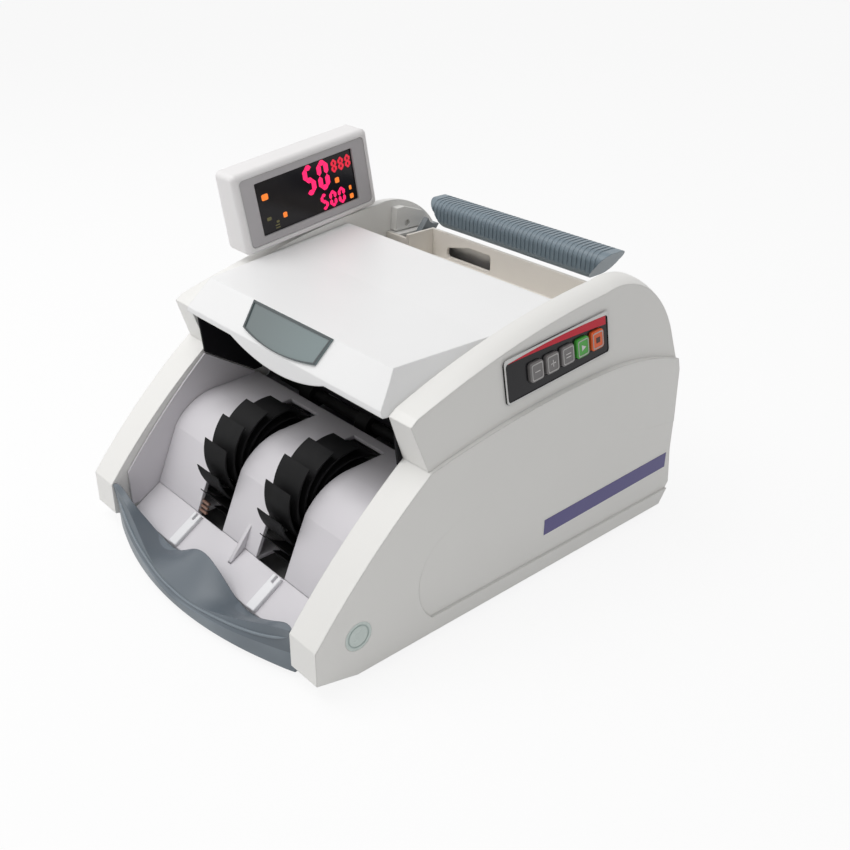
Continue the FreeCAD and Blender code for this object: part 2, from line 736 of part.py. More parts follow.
def motor(y, z, x_end):
    """Can motor whose shaft end faces +X at x_end."""
    can = rod(motor_r, x_end - motor_length, x_end, y, z)
    can = can.fuse(rod(7.0, x_end, x_end + 1.2, y, z)).fuse(rod(7.0, x_end - motor_length - 5.0,
                                                                x_end - motor_length, y, z))
    can = can.removeSplitter()
    return can.cut(rod(shaft_r + running_clearance, x_end - 30, x_end + 5, y, z))


# ---- hopper and rear ---------------------------------------------------------------------------------

def hopper_half():
    """Half width of the narrow rear part of the hopper."""
    return arm_x - arm_thickness - hopper_arm_gap


def hopper_chute():
    """Floor of the hopper, and its narrower back wall with a window in it."""
    t, half_rear, top = hopper_thickness, hopper_half(), hopper_top_z
    (foot_y, foot_z), (step_y, step_z), (rear_y0, rear_z) = hopper_foot, hopper_step, hopper_rear
    front = slab(yz_face([
        (foot_y - 26.0, foot_z - 3.0), (foot_y, foot_z), (step_y, step_z), (step_y, rear_deck_z),
        (step_y + t, rear_deck_z), (step_y + t, step_z - t), (foot_y + 0.6, foot_z - t),
        (foot_y - 26.0, foot_z - 3.0 - t)]), -span, span)
    front = front.cut(box(-half_rear + t, half_rear - t, step_y - 0.5, step_y + t + 1.0, step_z, top))
    slope = (rear_z - step_z) / (rear_y0 - step_y)
    rear = slab(yz_face([
        (step_y - 2.0, step_z - 2.0 * slope), (rear_y0, rear_z), (rear_y0, top), (rear_y0 + t, top),
        (rear_y0 + t, rear_z - t), (step_y - 2.0, step_z - 2.0 * slope - t)]), -half_rear, half_rear)
    side = yz_face([(step_y, step_z - 1.0), (step_y, top), (rear_y0 + t, top), (rear_y0 + t, rear_z - t)])
    sides = [slab(side, half_rear - t, half_rear), slab(side, -half_rear, -half_rear + t)]
    chute = fuse_all([front, rear] + sides)
    corners = [V(notch_left, rear_y0 - 2.0, notch_low_z), V(notch_left, rear_y0 - 2.0, notch_side_z),
               V((notch_left + notch_right) / 2, rear_y0 - 2.0, notch_top_z),
               V(notch_right, rear_y0 - 2.0, notch_top_z), V(notch_right, rear_y0 - 2.0, notch_low_z)]
    notch = Part.Face(Part.makePolygon(corners + [corners[0]])).extrude(V(0, t + 4.0, 0))
    notch = round_edges(notch, 2.5, lambda edge: edge.BoundBox.YLength > t)
    windows = [box(x - 9.0, x + 9.0, foot_y - 30.0, foot_y + 6.0, foot_z - 12.0, foot_z + 4.0)
               for x in roller_places]
    return cut_all(chute, [notch] + windows)


def side_boss():
    """Raised pad with a screw hole, inside the +X case side over the rear deck."""
    y0, y1, z0 = boss_front_y, boss_rear_y, rear_deck_z + 2 * fit_gap
    pad = slab(yz_face([(y0, z0), (y0 + 1.5, 175.5), (y0 + 8.0, 176.0), (y1 - 5.0, 169.0), (y1, z0)]),
               inner - boss_reach, inner + wall / 2)
    hole_y, hole_z = y0 + 11.0, z0 + 4.4
    return pad.cut(rod(boss_hole_r, inner - boss_reach - 1, inner - boss_reach + boss_hole_depth, hole_y, hole_z))


def rear_cover():
    """Back panel between the case sides: a deck under the handle and the upright back."""
    t = wall
    deck = rear_deck_z
    front_y = hopper_step[0] + hopper_thickness + fit_gap
    face = yz_face([
        (front_y, deck), (rear_y - 40.0, deck),
        (rear_y - 14.0, crease_z + 6.0), (rear_y - 6.0, 46.0), (rear_y - 3.0, 18.0), (rear_y - 12.0, 14.0),
        (rear_y - 12.0 - t, 16.0), (rear_y - 3.0 - t, 20.0), (rear_y - 6.0 - t, 46.0),
        (rear_y - 14.0 - t, crease_z + 5.0), (rear_y - 40.8, deck - t), (front_y, deck - t)])
    cover = slab(face, -span, span)
    vents = [box(-66.0 + 7.0 * k, -63.0 + 7.0 * k, rear_y - 30, rear_y + 5, 66.0, 100.0) for k in range(12)]
    holes = [box(x - w / 2, x + w / 2, rear_y - 30, rear_y + 5, z - h / 2, z + h / 2)
             for x, z, w, h in REAR_HOLES.values()]
    for side in (-1, 1):
        x = side * (arm_x - arm_thickness / 2)
        reach = arm_thickness / 2 + arm_room
        holes.append(box(x - reach, x + reach, front_y - 5.0, arm_slot_rear, deck - 20.0, deck + 30.0))
    inside = arm_x - arm_thickness - arm_room
    holes.append(box(-inside, inside, front_y - 1.0, hopper_rear[0] + hopper_thickness + fit_gap,
                     deck - 20.0, deck + 30.0))
    return cut_all(cover, vents + holes)


# x, z, width and height of what is let into the back
REAR_HOLES = {"mains_inlet": (-66.0, 38.0, 27.6, 20.0), "power_switch": (-32.0, 38.0, 19.6, 13.6),
              "display_socket": (52.0, 38.0, 12.0, 12.0)}


def in_back_frame(name, shape):
    """Set a piece into the back: drawn with its face on y = 0 and +Y outwards."""
    x, z, w, h = REAR_HOLES[name]
    slope = 3.0 / 28.0
    y = rear_y - 6.0 + slope * (46.0 - z)
    turn = FreeCAD.Rotation(V(1, 0, 0), math.degrees(math.atan(slope)))
    shape.Placement = FreeCAD.Placement(V(x, y, z), turn).multiply(shape.Placement)
    return shape


def recessed(name, depth, flange, hollow):
    """A moulded insert: a flange outside the back, a body inside and a hollow in it."""
    x, z, w, h = REAR_HOLES[name]
    w, h = w / 2 - insert_gap, h / 2 - insert_gap
    body = box(-w, w, -depth, 0.1, -h, h)
    rim = box(-w - flange, w + flange, 0.1, 1.7, -h - flange, h + flange)
    rim = round_edges(rim, 1.2, lambda edge: edge.BoundBox.YLength > 1)
    hollow_w, hollow_h, hollow_depth = hollow
    cut = box(-hollow_w / 2, hollow_w / 2, -hollow_depth, 3.0, -hollow_h / 2, hollow_h / 2)
    return body.fuse(rim).removeSplitter().cut(cut)


def mains_inlet():
    """Three-pin appliance inlet."""
    shell = recessed("mains_inlet", 22.0, 3.0, (24.0, 16.5, 16.0))
    pins = [box(x - 1.0, x + 1.0, -17.0, -2.0, z - 2.0, z + 2.0)
            for x, z in ((-7.0, -1.5), (0.0, 2.5), (7.0, -1.5))]
    return in_back_frame("mains_inlet", fuse_all([shell] + pins))


def switch_frame():
    return in_back_frame("power_switch", recessed("power_switch", 17.0, 1.8, (16.4, 10.4, 14.0)))


def rocker():
    """Rocker of the power switch, tipped one way."""
    reach, height = rocker_length / 2, rocker_width / 2
    outline = [V(-reach + 1.5, -7.0, -height), V(-reach, 2.6, -height), V(0, 1.2, -height),
               V(reach, 2.6, -height), V(reach - 1.5, -7.0, -height)]
    body = Part.Face(Part.makePolygon(outline + [outline[0]])).extrude(V(0, 0, 2 * height))
    body.rotate(V(0, rocker_pivot, 0), V(0, 0, 1), rocker_tilt)
    return in_back_frame("power_switch", body)


def display_socket():
    """Round-plug socket for a second display."""
    return in_back_frame("display_socket", recessed("display_socket", 14.0, 1.6, (8.0, 8.0, 9.0)))


# ---- handle ---------------------------------------------------------------------------------------------

def grip():
    """Flat round-edged grip with fine ribs across it and chamfered ends."""
    x0, x1 = -grip_length / 2, grip_length / 2
    body = box(x0, x1, grip_y - grip_width / 2, grip_y + grip_width / 2,
               grip_z - grip_height / 2, grip_z + grip_height / 2)
    body = round_edges(body, grip_height * 0.38, lambda edge: edge.BoundBox.XLength > grip_length / 2)
    ends = []
    for side in (-1, 1):
        end = box(0, 20, -40, 40, -40, 40)
        end.rotate(V(0, 0, 0), V(0, 1, 0), 38.0)
        end.translate(V(x1 - 4.0, grip_y, grip_z + grip_height / 2 + 1.0))
        ends.append(end if side > 0 else mirror_x(end))
    body = cut_all(body, ends)
    grooves = []
    plain = 12.0                  # smooth stretch at each end
    pitch = (grip_length - 2 * plain) / rib_count
    core = box(x0, x1, grip_y - grip_width / 2 + rib_depth, grip_y + grip_width / 2 - rib_depth,
               grip_z - grip_height / 2 - 1, grip_z + grip_height / 2 - rib_depth)
    core = round_edges(core, grip_height * 0.34, lambda edge: edge.BoundBox.XLength > grip_length / 2
                       and edge.BoundBox.ZMin > grip_z)
    for k in range(rib_count + 1):
        x = x0 + plain + pitch * k
        gap = pitch - rib_width
        ring = box(x - gap / 2, x + gap / 2, grip_y - 30, grip_y + 30, grip_z - grip_height * 0.3, grip_z + 30)
        grooves.append(ring.cut(core))
    return body.cut(Part.Compound(grooves))


arm_slot_rear = 133.0


def handle_arms():
    """Two flat arms from the pivots up to the grip."""
    arms = []
    pivot, end = (handle_pivot_y, handle_pivot_z), (grip_y, grip_z)
    length = math.dist(pivot, end)
    tilt = math.degrees(math.atan2(end[1] - pivot[1], end[0] - pivot[0]))
    reach = length - grip_height / 2 + 1.0
    bar = box(0, arm_thickness, 0, reach, -arm_width / 2, arm_width / 2)
    bar = bar.fuse(rod(arm_width / 2, 0, arm_thickness, 0, 0)).removeSplitter()
    bar = bar.cut(rod(handle_pin_r + running_clearance, -1, arm_thickness + 1, 0, 0))
    bar.rotate(V(0, 0, 0), V(1, 0, 0), tilt)
    bar.translate(V(arm_x - arm_thickness, pivot[0], pivot[1]))
    bar = bar.cut(grip_envelope())
    for side in (1, -1):
        arms.append(bar if side > 0 else mirror_x(bar))
    return arms


def grip_envelope():
    """The plain block that the grip is made from, for trimming the arms."""
    body = box(-grip_length / 2, grip_length / 2, grip_y - grip_width / 2, grip_y + grip_width / 2,
               grip_z - grip_height / 2, grip_z + grip_height / 2)
    return round_edges(body, grip_height * 0.38, lambda edge: edge.BoundBox.XLength > grip_length / 2)


def handle_pins():
    near = arm_x - arm_thickness - 0.6
    pin = rod(handle_pin_r, near, inner + wall, handle_pivot_y, handle_pivot_z)
    head = rod(handle_pin_r + 2.0, near - 2.0, near, handle_pivot_y, handle_pivot_z)
    pin = pin.fuse(head).removeSplitter()
    return [pin, mirror_x(pin)]


# ---- control panel -----------------------------------------------------------------------------------------

def panel_place():
    """On the leaning side: x along the panel to the rear, y up, z out of the case."""
    face_x = half - crease_step - (panel_z - crease_z) * math.tan(math.radians(lean))
    outward = V(math.cos(math.radians(lean)), 0, math.sin(math.radians(lean)))
    along = V(0, 1, 0)
    up = outward.cross(along)
    turn = FreeCAD.Rotation(along, up, outward, "ZXY")
    tilt = FreeCAD.Rotation(V(0, 0, 1), panel_tilt)
    return FreeCAD.Placement(V(face_x, panel_y, panel_z), turn.multiply(tilt))


def panel_blank(margin, bottom, thickness):
    """Panel outline with a bowed top edge and rounded corners."""
    x, y0, y1 = panel_length / 2 - margin, -panel_height / 2 + margin, panel_height / 2 - margin
    bow = 1.6
    a, b = V(-x, y0, bottom), V(x, y0, bottom)
    c, d = V(x, y1 - bow, bottom), V(-x, y1 - bow, bottom)
    edges = [Part.makeLine(a, b), Part.makeLine(b, c), Part.Arc(c, V(0, y1, bottom), d).toShape(),
             Part.makeLine(d, a)]
    plate = Part.Face(Part.Wire(edges)).extrude(V(0, 0, thickness))
    return round_edges(plate, 2.4, lambda edge: edge.BoundBox.ZLength > thickness * 0.9
                       and edge.BoundBox.XLength < 0.1)


def key_spots():
    return [(key_first + key_pitch * k, -key_drop) for k in range(key_count)]


def key_block(x, y, grow, z0, z1):
    block = Part.makeBox(key_width + 2 * grow, key_height + 2 * grow, z1 - z0,
                         V(x - key_width / 2 - grow, y - key_height / 2 - grow, z0))
    return round_edges(block, max(2.2 + grow, 0.8), lambda edge: edge.BoundBox.ZLength > (z1 - z0) * 0.9)


def key_wells():
    wells = [key_block(x, y, key_gap, -30.0, 10.0) for x, y in key_spots()]
    for well in wells:
        well.Placement = panel_place().multiply(well.Placement)
    return wells


def control_panel():
    """Dark fascia with a light rim and an opening for each key."""
    plate = panel_blank(0.0, 0.0, panel_thickness)
    plate = plate.cut(panel_blank(1.2, panel_thickness - 0.4, 1.0))
    plate.Placement = panel_place()
    return cut_all(plate, key_wells())


def key(k):
    """A key with a rounded crown and a stem that reaches the key board."""
    x, y = key_spots()[k]
    crown = key_block(x, y, 0.0, -2.0, panel_thickness + key_stand)
    crown = round_edges(crown, 0.7, lambda edge: edge.BoundBox.ZMin > panel_thickness + key_stand - 0.01)
    skirt = key_block(x, y, -3.0, -key_stem, -2.0)
    body = crown.fuse(skirt).removeSplitter()
    body.Placement = panel_place()
    return body


def key_board():
    """Circuit board behind the keys, with a switch under each."""
    spots = key_spots()
    x0, x1 = spots[0][0] - key_width / 2 - 4.0, spots[-1][0] + key_width / 2 + 4.0
    board = Part.makeBox(x1 - x0, key_height + 6.0, 1.6,
                         V(x0, -key_drop - key_height / 2 - 3.0, -key_stem - key_stroke - 4.6))
    switches = [Part.makeBox(6.0, 6.0, 2.5, V(x - 3.0, y - 3.0, -key_stem - key_stroke - 3.0))
                for x, y in spots]
    board = fuse_all([board] + switches)
    board.Placement = panel_place()
    return board


def side_disc():
    """Round plug let into the front of each side, flush with it."""
    return Part.makeCylinder(disc_r, disc_thickness, V(half - disc_thickness, disc_y, disc_z), V(1, 0, 0))


# ---- display pod ---------------------------------------------------------------------------------------------

def pod_place():
    """x along the pod to the rear, y up, z towards +X, at the middle of its lower front edge."""
    turn = FreeCAD.Rotation(V(0, 1, 0), V(0, 0, 1), V(1, 0, 0), "ZXY")
    slope = FreeCAD.Rotation(V(0, 0, 1), pod_slope)
    return FreeCAD.Placement(V(-inner + pod_overhang, pod_y, pod_base_z), turn.multiply(slope))


def pod_tilt():
    return math.degrees(math.atan2(pod_foot - pod_head, pod_height))


def pod_wedge(inset):
    """The pod's wedge-shaped body, thicker at the bottom."""
    i = inset
    points = [V(0, i, -i), V(0, i, -pod_foot + i), V(0, pod_height - i, -pod_foot + i),
              V(0, pod_height - i, -(pod_foot - pod_head) - i)]
    wedge = Part.Face(Part.makePolygon(points + [points[0]])).extrude(V(pod_length - 2 * i, 0, 0))
    wedge.translate(V(-pod_length / 2 + i, 0, 0))
    radius = pod_round - i
    return wedge.makeFillet(max(radius, 1.0), wedge.Edges)


def face_place():
    """On the pod's tilted face: y up the face, z out of it."""
    return FreeCAD.Placement(V(0, 0, 0), FreeCAD.Rotation(V(1, 0, 0), -pod_tilt()))


def face_plate(margin, z0, z1, corner, narrower=0.0):
    """A rounded rectangle on the pod's face.  narrower takes more off its two ends."""
    height = math.hypot(pod_height, pod_foot - pod_head)
    side = margin + narrower
    plate = Part.makeBox(pod_length - 2 * side, height - 2 * margin, z1 - z0,
                         V(-pod_length / 2 + side, margin, z0))
    plate = round_edges(plate, corner, lambda edge: edge.BoundBox.ZLength > (z1 - z0) * 0.9
                        and edge.BoundBox.XLength < 0.1)
    plate.Placement = face_place()
    return plate


def pod_parts():
    """Shell, bezel, window and board of the display pod, in place."""
    shell = pod_wedge(0.0).cut(pod_wedge(pod_wall))
    shell = shell.cut(face_plate(bezel_margin, -pod_wall - 3.0, 3.0, 3.0))
    bezel = face_plate(bezel_margin + 0.2, -bezel_depth, -0.4, 3.0)
    opening, ends = bezel_margin + window_margin_high, window_margin - window_margin_high
    bezel = bezel.cut(face_plate(opening, -9.0, 9.0, 1.0, ends))
    bezel = bezel.fuse(face_plate(bezel_margin + 2.0, -bezel_depth - 2.0, -bezel_depth, 2.0).cut(
        face_plate(opening - 1.0, -9.0, 9.0, 1.0, ends)))
    window = face_plate(opening - 0.8, -bezel_depth - window_thickness, -bezel_depth, 1.0, ends)
    board = face_plate(bezel_margin + 3.0, -bezel_depth - 6.0, -bezel_depth - 4.4, 1.0)
    lug = pod_hinge_rod(pod_lug_r, -pod_lug_width / 2, pod_lug_width / 2)
    lug = lug.fuse(Part.makeBox(pod_lug_width, pod_hinge_drop + pod_wall / 2, 2 * pod_lug_r,
                                V(-pod_lug_width / 2, -pod_hinge_drop, -pod_foot / 2 - pod_lug_r)))
    shell = shell.fuse(lug).removeSplitter()
    shell = shell.cut(pod_hinge_rod(pod_pin_r + running_clearance, -pod_lug_width, pod_lug_width))
    return shell, bezel, window, board


def pod_hinge_rod(radius, x0, x1):
    """A round bar along the pod's hinge axis."""
    return Part.makeCylinder(radius, x1 - x0, V(x0, -pod_hinge_drop, -pod_foot / 2), V(1, 0, 0))


def pod_bracket():
    """Two ears on a base inside the case side; the pod's lug turns between them."""
    gap = fit_gap
    ears = []
    for side in (-1, 1):
        near = side * (pod_lug_width / 2 + gap)
        far = near + side * pod_ear_width
        x0, x1 = min(near, far), max(near, far)
        ear = pod_hinge_rod(pod_lug_r, x0, x1)
        ear = ear.fuse(Part.makeBox(x1 - x0, bracket_depth, 2 * pod_lug_r,
                                    V(x0, -pod_hinge_drop - bracket_depth, -pod_foot / 2 - pod_lug_r)))
        ears.append(ear)
    reach = pod_lug_width / 2 + gap + pod_ear_width
    base = Part.makeBox(2 * reach, bracket_plate, bracket_width,
                        V(-reach, -pod_hinge_drop - bracket_depth, -(pod_foot + bracket_width) / 2))
    bracket = fuse_all(ears + [base])
    return bracket.cut(pod_hinge_rod(pod_pin_r, -reach - 1, reach + 1))


def pod_pin():
    reach = pod_lug_width / 2 + fit_gap + pod_ear_width
    return pod_hinge_rod(pod_pin_r, -reach, reach)


def bracket_slot():
    """Opening in the top of the case side for the bracket's ears and the pod's lug."""
    reach = pod_lug_width / 2 + 2 * fit_gap + pod_ear_width
    wide = pod_lug_r + fit_gap
    return Part.makeBox(2 * reach, 20.0, 2 * wide, V(-reach, -20.0, -pod_foot / 2 - wide))


def in_pod_frame(shape):
    shape.Placement = pod_place().multiply(shape.Placement)
    return shape


# ---- drive train -----------------------------------------------------------------------------------------

shaft_reach = belt_x0 + belt_width + 3.0


def shaft_set():
    """Each shaft with its driven end on the side that its belt runs in."""
    short = frame_x + bearing_width + 1.0
    return {
        "impeller_shaft": rod(shaft_r, -short, shaft_reach, impeller_y, impeller_z),
        "feed_shaft": rod(shaft_r, -shaft_reach, short, *feed_shaft),
        "pickup_shaft": rod(shaft_r, -shaft_reach, short, *pickup_shaft),
        "transport_roller": fuse_all([rod(shaft_r, -shaft_reach, short, *transport_shaft)] + [
            rod(transport_roller_r, x - 6.0, x + 6.0, *transport_shaft) for x in (-62.0, 0.0, 62.0)])}


def roller_set():
    """Rubber tyres on the feed and pick-up shafts, grouped by shaft."""
    return {
        "feed_tyres": rollers(*feed_shaft, feed_roller_r, 18.0, roller_places),
        "pickup_tyres": rollers(*pickup_shaft, pickup_roller_r, 14.0, roller_places)}


def pulley_set():
    """Pulleys of both belts.  The impeller belt is in the right side, the feed belt in the left."""
    left = {"feed_pulley": (feed_pulley_r, feed_shaft), "pickup_pulley": (pickup_pulley_r, pickup_shaft),
            "transport_pulley": (transport_pulley_r, transport_shaft)}
    made = {name: mirror_x(pulley(r, belt_x0, *place)) for name, (r, place) in left.items()}
    made["impeller_pulley"] = pulley(impeller_pulley_r, belt_x0, impeller_y, impeller_z)
    return made


def motor_rotor(place, radius):
    """Motor spindle with the small pulley that is moulded on it, on the +X side."""
    return fuse_all([rod(shaft_r, frame_x - 28.0, shaft_reach, *place), pulley(radius, belt_x0, *place)])


def belts():
    right = belt([(*impeller_motor, impeller_motor_pulley_r), (impeller_y, impeller_z, impeller_pulley_r)],
                 belt_x0 + 0.5)
    left = belt([(*feed_motor, feed_motor_pulley_r), (*pickup_shaft, pickup_pulley_r),
                 (*feed_shaft, feed_pulley_r), (*transport_shaft, transport_pulley_r)], belt_x0 + 0.5)
    return right, mirror_x(left)


def transformer():
    """Laminated core with its winding, on the pan behind the motors."""
    y0, z0 = 92.0, foot_height + 2.0
    core = box(-76.0, -24.0, y0, y0 + 34.0, z0, z0 + 44.0)
    core = core.cut(box(-67.0, -54.5, y0 - 1, y0 + 40, z0 + 8.0, z0 + 36.0))
    core = core.cut(box(-45.5, -33.0, y0 - 1, y0 + 40, z0 + 8.0, z0 + 36.0))
    winding = box(-66.6, -33.4, y0 - 8.0, y0 + 42.0, z0 + 8.4, z0 + 35.6)
    winding = winding.cut(box(-54.5, -45.5, y0, y0 + 34.0, z0, z0 + 50))
    return core, winding


def main_board():
    """Control board on stand-offs, with its larger parts."""
    z = foot_height + 10.0
    board = box(0.0, 86.0, 84.0, 138.0, z, z + 1.6)
    chips = [box(12.0, 34.0, 96.0, 104.0, z + 1.6, z + 5.0), box(44.0, 58.0, 92.0, 106.0, z + 1.6, z + 4.0)]
    cans = [Part.makeCylinder(5.0, 16.0, V(70.0, 98.0 + 13.0 * k, z + 1.6)) for k in range(3)]
    posts = [Part.makeCylinder(3.0, z - foot_height - 2.0, V(x, y, foot_height + 2.0))
             for x in (5.0, 81.0) for y in (89.0, 133.0)]
    return fuse_all([board] + chips + cans + posts)


def note_sensors():
    """Infra-red emitter bars over the note path."""
    return [box(x - 8.0, x + 8.0, -16.0, -6.0, 104.0, 112.0) for x in (-62.0, 0.0, 62.0)]


def retard_unit():
    """Bridge across the frames with the pads that hold back all but one note."""
    y, z = feed_shaft
    top = z + feed_roller_r + 5.0
    parts = [box(-frame_x + 0.2, frame_x - 0.2, y - 12.0, y + 12.0, top, top + 3.0)]
    for x in roller_places:
        pad = box(x - 9.0, x + 9.0, y - 12.0, y + 12.0, z + feed_roller_r - 6.0, top)
        parts.append(pad.cut(rod(feed_roller_r + 0.5, x - 20, x + 20, y, z)))
    return parts


knob_r, knob_height = 9.0, 6.0
knob_spindle_r = 3.0


def knob_place():
    """On the sloping top of the back: z out of the slope."""
    low, high = (rear_y - 14.0, crease_z + 6.0), (rear_y - 40.0, rear_deck_z)
    lean_back = math.degrees(math.atan2(high[1] - low[1], low[0] - high[0]))
    middle = V(0, (low[0] + high[0]) / 2, (low[1] + high[1]) / 2)
    return FreeCAD.Placement(middle, FreeCAD.Rotation(V(1, 0, 0), -lean_back))


def gap_knob():
    """Fluted knob with a short spindle through the back."""
    z = fit_gap
    knob = Part.makeCylinder(knob_r, knob_height, V(0, 0, z))
    flutes = [Part.makeCylinder(1.4, knob_height + 2, V((knob_r + 0.5) * math.cos(a),
                                                       (knob_r + 0.5) * math.sin(a), z - 1))
              for a in [math.radians(30.0 * k) for k in range(12)]]
    knob = cut_all(knob, flutes)
    spindle = Part.makeCylinder(knob_spindle_r, 10.0, V(0, 0, z - 9.0))
    pointer = box(-0.8, 0.8, 1.0, knob_r - 1.5, z + knob_height - 0.1, z + knob_height + 0.7)
    knob = fuse_all([knob, spindle, pointer])
    knob.Placement = knob_place()
    return knob


def knob_hole():
    hole = Part.makeCylinder(knob_spindle_r + fit_gap, 12.0, V(0, 0, -9.0))
    hole.Placement = knob_place()
    return hole


def case_screws():
    """Screws up through the pan, and in the back."""
    screws = []
    for x in (-foot_x + 16.0, foot_x - 16.0):
        for y in (foot_front_y + 12.0, 20.0, foot_rear_y - 8.0):
            head = Part.makeCylinder(3.0, 1.6, V(x, y, foot_height - 1.6))
            shank = Part.makeCylinder(1.5, 8.0, V(x, y, foot_height))
            screws.append(head.fuse(shank).removeSplitter())
    return screws


def screw_holes():
    return [Part.makeCylinder(1.5, 9.0, V(x, y, foot_height - 0.5))
            for x in (-foot_x + 16.0, foot_x - 16.0) for y in (foot_front_y + 12.0, 20.0, foot_rear_y - 8.0)]


def write_all():
    right = cased(right_cover()).fuse(side_boss()).removeSplitter()
    left = mirror_x(right).cut(in_pod_frame(bracket_slot()))
    save("right_cover", cut_all(right, key_wells()))
    save("left_cover", left)
    save("base_pan", cut_all(base_pan(), screw_holes()))
    save("rubber_feet", feet())
    save("case_screws", case_screws())
    save("right_side_frame", side_frame())
    save("left_side_frame", mirror_x(side_frame()))
    save("shaft_bearings", bearings())
    save("tie_rods", tie_rods())
    save("hood", hood())
    save("name_badge", name_badge())
    save("stacker_plate", fuse_all([stacker_plate(), gusset()]))
    save("stacker_floor", stacker_floor())
    save("stacker_bars", stacker_bars())
    save("pocket_liners", [pocket_liner(), mirror_x(pocket_liner())])
    save("upper_guide", upper_guide())
    save("front_tray", front_tray())
    save("impellers", [placed_impeller(-1), placed_impeller(1)])
    save("hopper_chute", hopper_chute())
    save("rear_cover", rear_cover().cut(knob_hole()))
    save("mains_inlet", mains_inlet())
    save("switch_frame", switch_frame())
    save("power_rocker", rocker())
    save("display_socket", display_socket())
    save("handle_grip", grip())
    save("handle_arms", handle_arms())
    save("handle_pins", handle_pins())
    save("control_panel", control_panel())
    for k in range(key_count):
        save("key_%d" % (k + 1), key(k))
    save("key_board", key_board())
    save("side_disc", side_disc())
    for name, shape in zip(("pod_shell", "pod_bezel", "pod_window", "pod_board"), pod_parts()):
        save(name, in_pod_frame(shape))
    save("pod_hinge", [in_pod_frame(pod_bracket()), in_pod_frame(pod_pin())])
    for group in (shaft_set(), roller_set(), pulley_set()):
        for name, shape in group.items():
            save(name, shape)
    save("drive_motors", [motor(*impeller_motor, frame_x), mirror_x(motor(*feed_motor, frame_x))])
    save("impeller_motor_rotor", motor_rotor(impeller_motor, impeller_motor_pulley_r))
    save("feed_motor_rotor", mirror_x(motor_rotor(feed_motor, feed_motor_pulley_r)))
    right_belt, left_belt = belts()
    save("impeller_belt", right_belt)
    save("feed_belt", left_belt)
    save("transformer", transformer())
    save("main_board", main_board())
    save("note_sensors", note_sensors())
    save("retard_unit", retard_unit())
    save("gap_knob", gap_knob())


if __name__ == "__main__":
    write_all()
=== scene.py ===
"""Looks of a desk-top banknote counter: finishes, printed trim, lit digits and the studio."""

import math

import bmesh
import bpy
from bpy.props import FloatProperty, FloatVectorProperty, IntProperty, PointerProperty
from mathutils import Matrix, Vector
from mathutils.bvhtree import BVHTree
from mathutils.geometry import tessellate_polygon


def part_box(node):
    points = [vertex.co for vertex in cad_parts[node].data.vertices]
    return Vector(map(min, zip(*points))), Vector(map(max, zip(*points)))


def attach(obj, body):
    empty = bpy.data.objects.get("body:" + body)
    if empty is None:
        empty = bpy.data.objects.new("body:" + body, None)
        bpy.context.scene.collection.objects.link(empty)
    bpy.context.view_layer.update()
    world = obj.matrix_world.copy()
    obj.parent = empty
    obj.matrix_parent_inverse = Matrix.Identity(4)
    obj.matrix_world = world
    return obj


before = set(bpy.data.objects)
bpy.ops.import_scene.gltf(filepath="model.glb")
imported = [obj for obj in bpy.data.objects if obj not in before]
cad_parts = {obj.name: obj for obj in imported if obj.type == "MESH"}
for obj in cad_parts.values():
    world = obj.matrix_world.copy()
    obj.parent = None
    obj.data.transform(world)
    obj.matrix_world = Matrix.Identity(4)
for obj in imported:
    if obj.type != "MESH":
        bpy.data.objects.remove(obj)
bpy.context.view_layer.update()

bl_info = {
    "name": "Banknote Counter",
    "version": (1, 0, 0),
    "blender": (4, 5, 0),
    "location": "3D View > Sidebar > Counter",
    "description": "Finishes, trim and studio of a desk-top banknote counter",
    "category": "Object",
}

# Fineness of each pattern on a surface, in waves per metre.
CLOUD, SPECK, GRAIN, RUB_AND_SHEEN, BLOOM = 14.0, 420.0, 2400.0, 55.0, 60.0
STREAK, STAIN, SMEAR, DUST, RIPPLE = 700.0, 30.0, 38.0, 1500.0, 22.0
LANE, PAD, FLICKER = 180.0, 260.0, 300.0

FACES_WAY = 0.8         # least cosine between a face and the way it is said to look
SAME_WAY = 0.9995       # least cosine between faces of one flat
SAME_LEVEL = 1e-4       # most distance between faces of one flat, in metres
BOW_STEPS = 14          # steps along a panel's bowed top edge
FOUR_SIDES = ((0, 1), (1, 2), (2, 3), (3, 0))


def tone(red, green, blue):
    """A colour given as 0 to 255 screen values, as the linear values a shader takes."""
    def linear(value):
        share = value / 255.0
        return share / 12.92 if share <= 0.04045 else ((share + 0.055) / 1.055) ** 2.4
    return linear(red), linear(green), linear(blue)


def scaled(color, factor, lift=0.0):
    """A colour made darker or lighter."""
    return tuple(min(c * factor + lift, 1.0) for c in color)


# ---- shader maths -------------------------------------------------------------------------------

class Wire:
    """One output in a shader graph, which takes part in ordinary arithmetic."""

    def __init__(self, graph, socket):
        self.graph = graph
        self.socket = socket

    def _math(self, operation, first, second=None):
        inputs = {0: first} if second is None else {0: first, 1: second}
        return self.graph.node("ShaderNodeMath", {"operation": operation}, inputs)

    def __add__(self, other):
        return self._math("ADD", self, other)

    __radd__ = __add__

    def __sub__(self, other):
        return self._math("SUBTRACT", self, other)

    def __rsub__(self, other):
        return self._math("SUBTRACT", other, self)

    def __mul__(self, other):
        return self._math("MULTIPLY", self, other)

    __rmul__ = __mul__

    def __abs__(self):
        return self._math("ABSOLUTE", self)

    def most(self, other):
        return self._math("MAXIMUM", self, other)

    def rise(self, start, end):
        """0 below start, 1 above end, smooth between them."""
        return self.graph.node("ShaderNodeMapRange", {"interpolation_type": "SMOOTHSTEP"},
                               {"Value": self, "From Min": start, "From Max": end})


